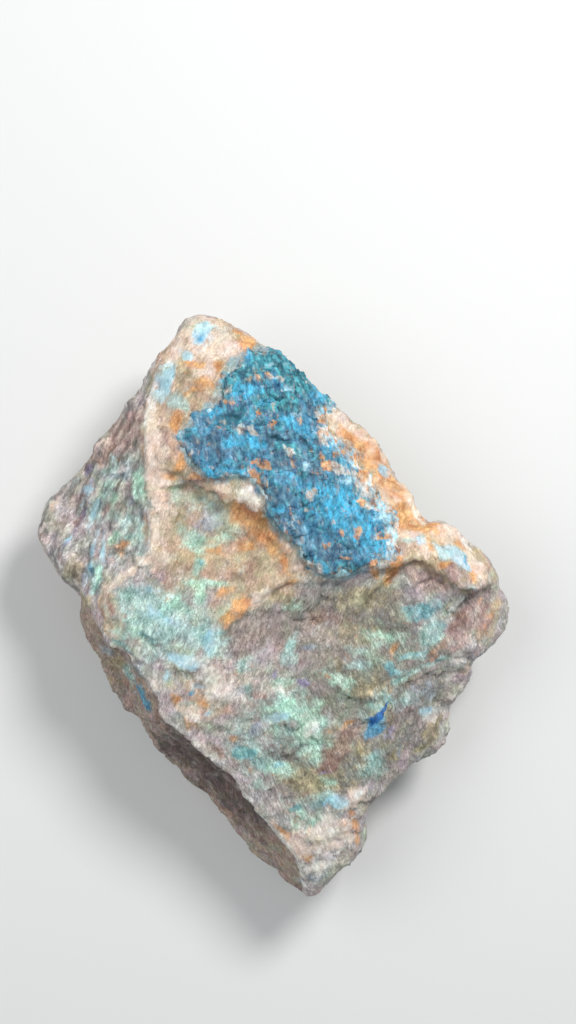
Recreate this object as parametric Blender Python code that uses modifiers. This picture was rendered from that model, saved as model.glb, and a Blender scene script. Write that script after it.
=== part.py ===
"""Linarite specimen: one hand-sized piece of broken rock lying on its back.

Units are metres and +Z is up.  The broad mineral-covered face looks up, the long
axis of the piece runs along Y with its pointed end at +Y, and the origin is on
the level that the rock rests on, under the middle of its box.  The minerals are
grown into the rock, so the whole piece is one closed solid.
"""

import math

import bmesh
import bpy
import numpy as np
from mathutils import Vector, noise

MM = 0.001

# Driving dimensions, in millimetres.
SLAB_HEIGHT = 30.0        # blank that the rock is shaped from
FOOT_CUT = 0.4            # shaved off the underside to make the resting patch
FOOT_BLEND = 2.5          # height over which the broken texture fades in above it
BLANK_VOXEL = 1.1         # grain of the blank
SHAPE_VOXEL = 0.9         # grain of the shaped rock
TRIANGLE_BUDGET = 9000    # triangles left on the finished solid
WALL = 4.0                # least height of the side walls
RIM_DROP = 1.0            # how far the front rolls down at its outer edge
RIM_REACH = 1.4           # width of that roll

# Outline seen from above, clockwise from the pointed end, in millimetres.
OUTLINE = [
    (-13.5, 47.9), (-11.0, 47.3), (-8.6, 46.2), (-5.1, 44.3), (-2.4, 41.5), (0.3, 40.6),
    (2.9, 38.9), (6.0, 36.0), (8.8, 33.0), (12.6, 31.1), (15.9, 27.8), (18.6, 24.0),
    (21.7, 19.4), (23.1, 15.5), (24.8, 13.0), (28.8, 12.3), (31.1, 11.0), (34.3, 8.3),
    (38.1, 4.0), (36.6, 2.2), (38.8, 0.0), (39.9, -3.6), (37.2, -6.3), (34.6, -10.1),
    (34.2, -13.5), (31.7, -16.5), (30.1, -19.4), (29.8, -23.4), (27.6, -26.6), (23.1, -28.2),
    (20.0, -30.3), (16.3, -33.0), (15.8, -36.1), (15.8, -40.2), (13.8, -43.7), (11.2, -45.6),
    (7.6, -48.5), (6.3, -50.4), (4.4, -48.9), (1.5, -47.0), (-2.0, -44.4), (-5.2, -40.5),
    (-7.5, -37.0), (-10.5, -35.0), (-13.5, -32.3), (-18.5, -27.0), (-23.7, -21.0),
    (-27.2, -17.3), (-30.0, -13.0), (-31.2, -7.8), (-32.6, -1.8), (-32.0, 1.6),
    (-35.0, 3.3), (-36.3, 6.6), (-39.6, 11.0), (-38.2, 13.8), (-37.2, 17.3), (-34.9, 18.8),
    (-34.1, 20.7), (-30.6, 23.9), (-30.3, 26.2), (-27.8, 29.9), (-25.5, 33.8), (-22.9, 34.8),
    (-20.4, 39.1), (-16.9, 42.5), (-15.2, 45.7),
]

# Heights of the broad front plate, (x, y, z) in millimetres, grouped by part of the plate.
RIM_HEIGHTS = [
    (-13.5, 47, 23), (-6.5, 45, 23.3), (-1, 41.5, 23.5), (4.5, 37, 23.5), (10.5, 32, 23),
    (15, 27.5, 22.5), (19.5, 21, 22.2), (22.5, 15.5, 22.5), (27, 12.5, 23.3), (32.5, 10, 22.2),
    (37.5, 4, 20.5), (39, -2, 20), (24, -30, 20), (14.5, -33, 19.8), (14.5, -40.5, 18),
    (11, -45, 17.4), (7, -49, 16.4),
]
LEFT_HEIGHTS = [
    (-18.5, 39, 24.5), (-20.5, 31.5, 26), (-20.3, 25, 26.6), (-19.5, 17, 26.5),
    (-19.5, 9.5, 26), (-23.5, 5, 25), (-27.5, 2, 23.5), (-31.5, 0.5, 21.5),
    (-30, 26, 25), (-35, 15, 25), (-33, 8, 24),
]
CREST_HEIGHTS = [
    (-9.5, 41.5, 25), (-2, 38, 25.5), (4.5, 34, 25.5), (9.5, 29, 25), (14.5, 23.5, 24.5),
    (18.5, 17, 24.5), (20.5, 10.5, 24.9), (-11, 35.5, 27), (-3, 31.5, 27.5), (4.5, 25, 27.5),
    (11, 17, 26.8), (16, 9, 26.3), (-14, 27.5, 28), (-10, 22.5, 28.5), (-3, 21, 28.6),
    (1, 13.5, 28.3), (7, 9, 27.5), (12.5, 7, 26.7),
]
HOLLOW_HEIGHTS = [
    (-15, 16, 26.8), (-12, 10.5, 25.8), (-7, 12, 26.4), (-14.5, 4.5, 25), (-3.5, 9.5, 26.4),
    (-1.5, 4.5, 26.4),
]
LOBE_HEIGHTS = [
    (-27.5, -6.5, 22.6), (-23.5, -9.5, 23.6), (-23.5, -1, 25.2), (-17.5, -1.5, 26.7),
    (-12, -4.5, 26.6), (-23.5, -6, 24.8), (-17, -7.5, 26.4), (-17, -11.5, 25.7),
]
MIDDLE_HEIGHTS = [
    (-5.5, -2.5, 25.9), (4.5, 2, 26.3), (1, -7.5, 25.2), (9.5, -2.5, 25), (-8, -12.5, 25.9),
    (-13.5, -16.5, 24.9), (-3.5, -19, 24.8), (8, -12.5, 24.4), (12.5, 0.5, 25.2),
]
RIGHT_LOBE_HEIGHTS = [
    (19.5, -1.5, 24), (26, -0.5, 24.1), (32.5, -0.5, 22.8), (23.5, 9, 25.3), (28, 8, 25.1),
    (33.5, 4.5, 23.4), (16, -6, 23.8), (23.5, -6, 23), (30, -6, 22),
]
LOWER_HEIGHTS = [
    (15.5, -14, 24.6), (20, -13, 22.8), (27, -9, 22.2), (12.5, -20, 23.2), (4.5, -21.5, 23.6),
    (-3, -25, 23.5), (10.5, -27, 22), (4, -29.5, 21.4), (0.5, -33, 21), (7, -34.5, 20.8),
    (8, -41, 19.8), (-20.5, -13, 23.6), (-18, -19.5, 22.8), (-13, -23.5, 22.4), (-7, -28.5, 21.8),
    (-4.5, -32.5, 20.8), (-0.5, -38, 20.2), (4, -42, 19.2),
]
FRONT_SLACK = 2.0         # how loosely the fitted plate follows these heights
FRONT_HEIGHTS = (
    RIM_HEIGHTS + LEFT_HEIGHTS + CREST_HEIGHTS + HOLLOW_HEIGHTS
    + LOBE_HEIGHTS + MIDDLE_HEIGHTS + RIGHT_LOBE_HEIGHTS + LOWER_HEIGHTS
)

# Breaks where the front plate turns down, each falling on the right-hand side of its
# line: the line, the slope as fall over width, and the lowest level it reaches.
BREAKS = [
    # Left facet, below the sharp ridge.
    ([(-17.5, 44.0), (-19.0, 38.0), (-20.8, 31.5), (-20.6, 25.0), (-19.6, 17.0), (-19.4, 9.5),
      (-23.5, 5.2), (-28.0, 2.2), (-36.0, 1.0)], 0.55, 12.0),
    # Steep flank along the lower left.
    ([(-37.0, 1.5), (-31.5, 0.5), (-27.5, -6.5), (-23.5, -9.5), (-20.5, -13.0), (-18.0, -19.5),
      (-13.0, -23.5), (-7.0, -28.5), (-4.5, -32.5), (-0.5, -38.0), (3.5, -42.5), (5.0, -47.0),
      (5.5, -54.0)], 2.3, 9.5),
    # Lower right facet.
    ([(14.5, -36.0), (15.0, -31.0), (17.0, -24.0), (18.5, -17.5), (20.0, -13.5), (22.5, -10.8),
      (26.5, -9.0), (38.0, -7.5)], 0.68, 13.5),
    # Rolled corner at the right-hand end.
    ([(34.0, -9.0), (34.5, -3.0), (34.5, 1.5), (36.0, 5.0)], 0.7, 15.0),
]

# Steps on the front: the edge line with its high side on the right, the drop in
# millimetres, and how far the drop is felt on the high and on the low side.
STEPS = [
    # The long overhung edge of the upper plate.
    ([(37.0, 3.5), (33.0, 2.0), (30.5, 2.5), (28.0, 5.0), (24.5, 7.0), (20.5, 7.0), (18.5, 5.5),
      (12.5, 4.5), (8.0, 5.5), (5.0, 8.0), (4.5, 10.0), (1.0, 12.0), (-0.8, 14.5), (-4.5, 14.5),
      (-7.0, 16.0), (-9.5, 17.5), (-11.5, 19.0), (-14.0, 19.5), (-16.5, 21.0), (-19.5, 18.5)],
     2.0, 5.0, 8.0),
    # The low edge above the lower right facet.
    ([(34.5, -8.0), (26.0, -9.0), (22.5, -10.5), (20.0, -13.0), (18.5, -16.5)], 0.8, 3.0, 4.0),
    # The lip of the lower left lobe.
    ([(-13.0, -10.0), (-17.0, -11.5), (-21.5, -10.5), (-24.5, -8.0)], 0.4, 2.0, 2.0),
]
STEP_SOFTNESS = 0.45      # half width of a step's riser
STEP_SINK = 0.65          # share of a step's drop that falls on its low side
STEP_FADE = 5.0           # length over which a step dies out at its ends

# Facets of the underside: heading from +X, distance of the foot, slope from level.
UNDER_FACETS = [
    (25, 12.0, 15), (100, 17.0, 10), (160, 14.0, 13), (230, 15.0, 8), (300, 20.0, 8),
    (60, 22.0, 34), (130, 25.0, 38), (200, 23.0, 30), (335, 23.0, 33),
    (2, 31.0, 66), (38, 23.0, 74), (68, 32.0, 62), (105, 41.0, 62), (148, 32.0, 68),
    (186, 31.0, 62), (222, 28.5, 48), (255, 36.0, 55), (285, 46.0, 42), (318, 29.0, 68),
]
UNDER_SOFTNESS = 0.7

# Chips broken off the lower edges: a point on the broken face, and the way it looks.
CHIPS = [
    ((35.0, -5.0, 7.0), (0.80, -0.25, -0.55)), ((27.0, 11.0, 10.0), (0.55, 0.62, -0.56)),
    ((-8.0, 41.0, 9.0), (0.35, 0.72, -0.60)), ((-24.0, 33.0, 9.0), (-0.62, 0.45, -0.64)),
    ((-34.0, 9.0, 5.5), (-0.78, -0.12, -0.62)), ((-20.0, -21.0, 4.0), (-0.50, -0.48, -0.72)),
    ((-29.0, -8.0, 5.0), (-0.82, -0.35, -0.45)), ((25.5, -24.0, 6.5), (0.74, -0.36, -0.57)),
    ((9.0, -46.5, 4.0), (0.38, -0.55, -0.74)), ((-6.0, -36.5, 4.5), (-0.60, -0.55, -0.58)),
]

# Broken texture: size of the lumps and how far they stand out, in millimetres.
LUMPS = [(13.0, 1.5), (6.0, 0.9), (2.8, 0.45)]
LUMP_SHIFT = (3.1, 7.7)   # moves the pattern of lumps about in Y and Z

ROCK_COLOUR = (0.42, 0.43, 0.38, 1.0)
ROCK_ROUGHNESS = 0.85


def clear_scene():
    for obj in list(bpy.data.objects):
        bpy.data.objects.remove(obj, do_unlink=True)


def make_blank(collection):
    """Extrude the outline into a slab."""
    curve = bpy.data.curves.new("outline_curve", "CURVE")
    curve.dimensions = "2D"
    curve.fill_mode = "BOTH"
    curve.extrude = SLAB_HEIGHT * MM / 2
    spline = curve.splines.new("POLY")
    spline.points.add(len(OUTLINE) - 1)
    for point, (x, y) in zip(spline.points, OUTLINE):
        point.co = (x * MM, y * MM, 0, 1)
    spline.use_cyclic_u = True
    flat = bpy.data.objects.new("outline_blank", curve)
    flat.location.z = SLAB_HEIGHT * MM / 2
    collection.objects.link(flat)
    bpy.context.view_layer.update()
    depsgraph = bpy.context.evaluated_depsgraph_get()
    mesh = bpy.data.meshes.new_from_object(flat.evaluated_get(depsgraph))
    mesh.transform(flat.matrix_world)
    bpy.data.objects.remove(flat, do_unlink=True)
    bm = bmesh.new()
    bm.from_mesh(mesh)
    bmesh.ops.remove_doubles(bm, verts=bm.verts, dist=0.00001)
    bmesh.ops.recalc_face_normals(bm, faces=bm.faces)
    bm.to_mesh(mesh)
    bm.free()
    rock = bpy.data.objects.new("specimen_rock", mesh)
    collection.objects.link(rock)
    return rock


def apply_modifier(rock, name, kind, **settings):
    """Add one modifier, set it up, and bake its result into the mesh."""
    modifier = rock.modifiers.new(name, kind)
    for key, value in settings.items():
        setattr(modifier, key, value)
    bpy.context.view_layer.update()
    depsgraph = bpy.context.evaluated_depsgraph_get()
    mesh = bpy.data.meshes.new_from_object(rock.evaluated_get(depsgraph))
    rock.modifiers.remove(modifier)
    old = rock.data
    rock.data = mesh
    bpy.data.meshes.remove(old)


def smooth_step(t):
    t = np.clip(t, 0.0, 1.0)
    return t * t * (3 - 2 * t)


def soft_max(a, b, width):
    """Larger of two heights, with the corner between them rounded."""
    high = np.maximum(a, b)
    return high + width * np.log(np.exp((a - high) / width) + np.exp((b - high) / width))


def side_of_line(line, x, y):
    """Signed distance to a polyline, positive on its left, and the length along it."""
    best = np.full(x.shape, 1e9)
    side = np.zeros(x.shape)
    along = np.zeros(x.shape)
    start = 0.0
    for (x0, y0), (x1, y1) in zip(line, line[1:]):
        dx, dy = x1 - x0, y1 - y0
        length = math.hypot(dx, dy)
        t = np.clip(((x - x0) * dx + (y - y0) * dy) / length**2, 0.0, 1.0)
        away = np.hypot(x - x0 - t * dx, y - y0 - t * dy)
        cross = dx * (y - y0) - dy * (x - x0)
        nearer = away < best
        best = np.where(nearer, away, best)
        side = np.where(nearer, np.sign(cross), side)
        along = np.where(nearer, start + t * length, along)
        start += length
    return best * side, along, start


def height_kernel(distance):
    return distance**2 * np.log(distance + 1e-9)


def fit_front():
    """Solve the thin plate through the front's height points."""
    points = np.array(FRONT_HEIGHTS)
    count = len(points)
    gap = np.hypot(points[:, None, 0] - points[None, :, 0], points[:, None, 1] - points[None, :, 1])
    matrix = np.zeros((count + 3, count + 3))
    matrix[:count, :count] = height_kernel(gap) + np.eye(count) * FRONT_SLACK
    matrix[:count, count:] = np.column_stack([np.ones(count), points[:, :2]])
    matrix[count:, :count] = matrix[:count, count:].T
    target = np.concatenate([points[:, 2], np.zeros(3)])
    weights = np.linalg.solve(matrix, target)
    return points, weights


def front_height(x, y, plate):
    """Height of the front face in millimetres."""
    points, weights = plate
    gap = np.hypot(x[:, None] - points[None, :, 0], y[:, None] - points[None, :, 1])
    z = height_kernel(gap) @ weights[: len(points)]
    z += weights[-3] + weights[-2] * x + weights[-1] * y
    for line, drop, high_reach, low_reach in STEPS:
        left, along, length = side_of_line(line, x, y)
        side = -left
        edge = smooth_step(along / STEP_FADE) * smooth_step((length - along) / STEP_FADE)
        rise = smooth_step(0.5 + side / (2 * STEP_SOFTNESS))
        reach = np.where(side > 0, high_reach, low_reach)
        z += drop * edge * (rise - STEP_SINK) * np.exp(-np.abs(side) / reach)
    for line, slope, lowest in BREAKS:
        outside = np.maximum(-side_of_line(line, x, y)[0], 0.0)
        fall = np.minimum(slope * outside, np.maximum(z - lowest, 0.0))
        z -= fall
    return z


def back_height(x, y):
    """Height of the underside in millimetres: a level foot and sloping facets."""
    z = np.zeros(x.shape)
    for heading, foot, slope in UNDER_FACETS:
        turn = math.radians(heading)
        facet = (x * math.cos(turn) + y * math.sin(turn) - foot) * math.tan(math.radians(slope))
        z = soft_max(z, facet, UNDER_SOFTNESS)
    return z


def read_points(mesh):
    flat = np.empty(len(mesh.vertices) * 3)
    mesh.vertices.foreach_get("co", flat)
    return flat.reshape(-1, 3) / MM


def write_points(mesh, points):
    mesh.vertices.foreach_set("co", (points * MM).ravel())
    mesh.update()


def shape_faces(rock):
    """Move the slab's top and bottom to the front and back heights, with the sides between."""
    points = read_points(rock.data)
    x, y, z = points.T
    edge = np.abs(side_of_line(OUTLINE + OUTLINE[:1], x, y)[0])
    front = front_height(x, y, fit_front()) - RIM_DROP * np.exp(-edge / RIM_REACH)
    back = back_height(x, y)
    back = -soft_max(-back, WALL - front, 2 * UNDER_SOFTNESS)
    level = np.clip(z / SLAB_HEIGHT, 0.0, 1.0)
    points[:, 2] = back + (front - back) * level
    write_points(rock.data, points)


def roughen(rock):
    """Push the surface in and out by lumps of several sizes."""
    mesh = rock.data
    points = read_points(mesh)
    normals = np.empty(len(mesh.vertices) * 3)
    mesh.vertex_normals.foreach_get("vector", normals)
    normals = normals.reshape(-1, 3)
    push = np.zeros(len(points))
    for size, height in LUMPS:
        for index, point in enumerate(points):
            push[index] += height * noise.noise(Vector(point) / size + Vector((size, *LUMP_SHIFT)))
    push *= smooth_step((points[:, 2] - FOOT_CUT) / FOOT_BLEND)
    points += normals * push[:, None]
    write_points(mesh, points)


def cut_away(bm, place, heading):
    """Cut off what lies beyond a plane and close the cut."""
    bmesh.ops.bisect_plane(
        bm, geom=bm.verts[:] + bm.edges[:] + bm.faces[:], dist=0.000001,
        plane_co=Vector(place) * MM, plane_no=Vector(heading).normalized(), clear_outer=True,
    )
    rim = [edge for edge in bm.edges if edge.is_boundary]
    bmesh.ops.holes_fill(bm, edges=rim, sides=0)


def break_chips(rock):
    """Break the chips off the lower edges."""
    bm = bmesh.new()
    bm.from_mesh(rock.data)
    for place, heading in CHIPS:
        cut_away(bm, place, heading)
    bm.to_mesh(rock.data)
    bm.free()


def cut_foot(rock):
    """Shave the underside level, so that the rock rests on a true flat."""
    bm = bmesh.new()
    bm.from_mesh(rock.data)
    cut_away(bm, (0.0, 0.0, FOOT_CUT), (0.0, 0.0, -1.0))
    bmesh.ops.triangulate(bm, faces=[face for face in bm.faces if len(face.verts) > 3])
    bmesh.ops.recalc_face_normals(bm, faces=bm.faces)
    bm.to_mesh(rock.data)
    bm.free()


def centre_on_foot(rock):
    """Bring the middle of the box over the origin and the foot down to the level."""
    points = read_points(rock.data)
    low, high = points.min(axis=0), points.max(axis=0)
    points -= ((low[0] + high[0]) / 2, (low[1] + high[1]) / 2, low[2])
    write_points(rock.data, points)


def stone_material():
    material = bpy.data.materials.new("matrix_stone")
    material.use_nodes = True
    shader = material.node_tree.nodes["Principled BSDF"]
    shader.inputs["Base Color"].default_value = ROCK_COLOUR
    shader.inputs["Roughness"].default_value = ROCK_ROUGHNESS
    shader.inputs["Metallic"].default_value = 0.0
    return material


def build():
    clear_scene()
    collection = bpy.data.collections.new("linarite_specimen")
    bpy.context.scene.collection.children.link(collection)
    rock = make_blank(collection)
    apply_modifier(rock, "blank_grain", "REMESH", mode="VOXEL", voxel_size=BLANK_VOXEL * MM)
    shape_faces(rock)
    break_chips(rock)
    apply_modifier(rock, "shape_grain", "REMESH", mode="VOXEL", voxel_size=SHAPE_VOXEL * MM)
    roughen(rock)
    apply_modifier(rock, "triangles", "TRIANGULATE")
    keep = TRIANGLE_BUDGET / len(rock.data.polygons)
    apply_modifier(rock, "thin_out", "DECIMATE", ratio=keep)
    cut_foot(rock)
    centre_on_foot(rock)
    rock.data.materials.clear()
    rock.data.materials.append(stone_material())
    rock.data.name = rock.name


build()
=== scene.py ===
"""Linarite specimen: the looks of the rock, its blue crust and its small crystals.

Lengths are metres where Blender keeps them and millimetres wherever a name or a
comment says so.  Places on the rock are given as seen from above, X to the right
and Y towards the pointed end.
"""

import math

import bmesh
import bpy
import numpy as np
from bpy.props import FloatProperty, FloatVectorProperty, IntProperty, PointerProperty
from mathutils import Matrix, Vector, noise


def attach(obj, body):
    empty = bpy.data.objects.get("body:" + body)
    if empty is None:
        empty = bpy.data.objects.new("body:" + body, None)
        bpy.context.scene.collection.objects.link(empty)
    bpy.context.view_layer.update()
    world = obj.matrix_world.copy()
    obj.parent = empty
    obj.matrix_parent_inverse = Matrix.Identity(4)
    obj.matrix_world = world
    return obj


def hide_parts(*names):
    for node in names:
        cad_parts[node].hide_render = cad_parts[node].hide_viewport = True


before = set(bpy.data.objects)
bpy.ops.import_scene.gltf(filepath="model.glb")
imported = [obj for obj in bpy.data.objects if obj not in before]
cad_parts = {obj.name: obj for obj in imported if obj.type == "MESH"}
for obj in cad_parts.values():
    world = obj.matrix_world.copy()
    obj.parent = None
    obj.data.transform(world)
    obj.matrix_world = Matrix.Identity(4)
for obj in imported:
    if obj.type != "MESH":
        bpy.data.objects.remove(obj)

bl_info = {
    "name": "Linarite Specimen",
    "version": (1, 0, 0),
    "blender": (4, 5, 0),
    "location": "View3D > Sidebar > Specimen",
    "description": "Dresses the rock with its crust, crystals and mineral colours",
    "category": "Add Mesh",
}

MM = 0.001
ROCK_NODE = "specimen_rock"
BODY = "root"
BAKE_MAP = "OFBake"

# Headings in degrees from +X, of the fibres on the rock's left part and on its right part,
# with the band between which they turn, and of the blue crust's colours and ridges.
LEFT_GRAIN = 67.0
RIGHT_GRAIN = 112.0
TURN_BAND = (4.0, 16.0)
CRUST_GRAIN = 102.0
CRUST_RIDGES = 64.0

# How steeply the fibres rise out of the level in the surface, their turn about Y in the
# colours, how sharp their crests are, and how far apart the tilts of two chips are drawn.
GRAIN_RISE = 0.25
GRAIN_DIP = -0.2
CREST_STEEPNESS = 3.2
CHIP_SPREAD = 9.0

# Heights between which the upper face, its cracks and its crust begin, and between which
# the relief grows from nothing over the flat resting place.
FACE_HEIGHTS = (8.0, 11.0)
CRACK_HEIGHTS = (10.0, 13.0)
CRUST_HEIGHTS = (11.0, 12.5)
FOOT_HEIGHTS = (0.1, 2.0)

# ---------------------------------------------------------------- the rock's map

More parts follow.
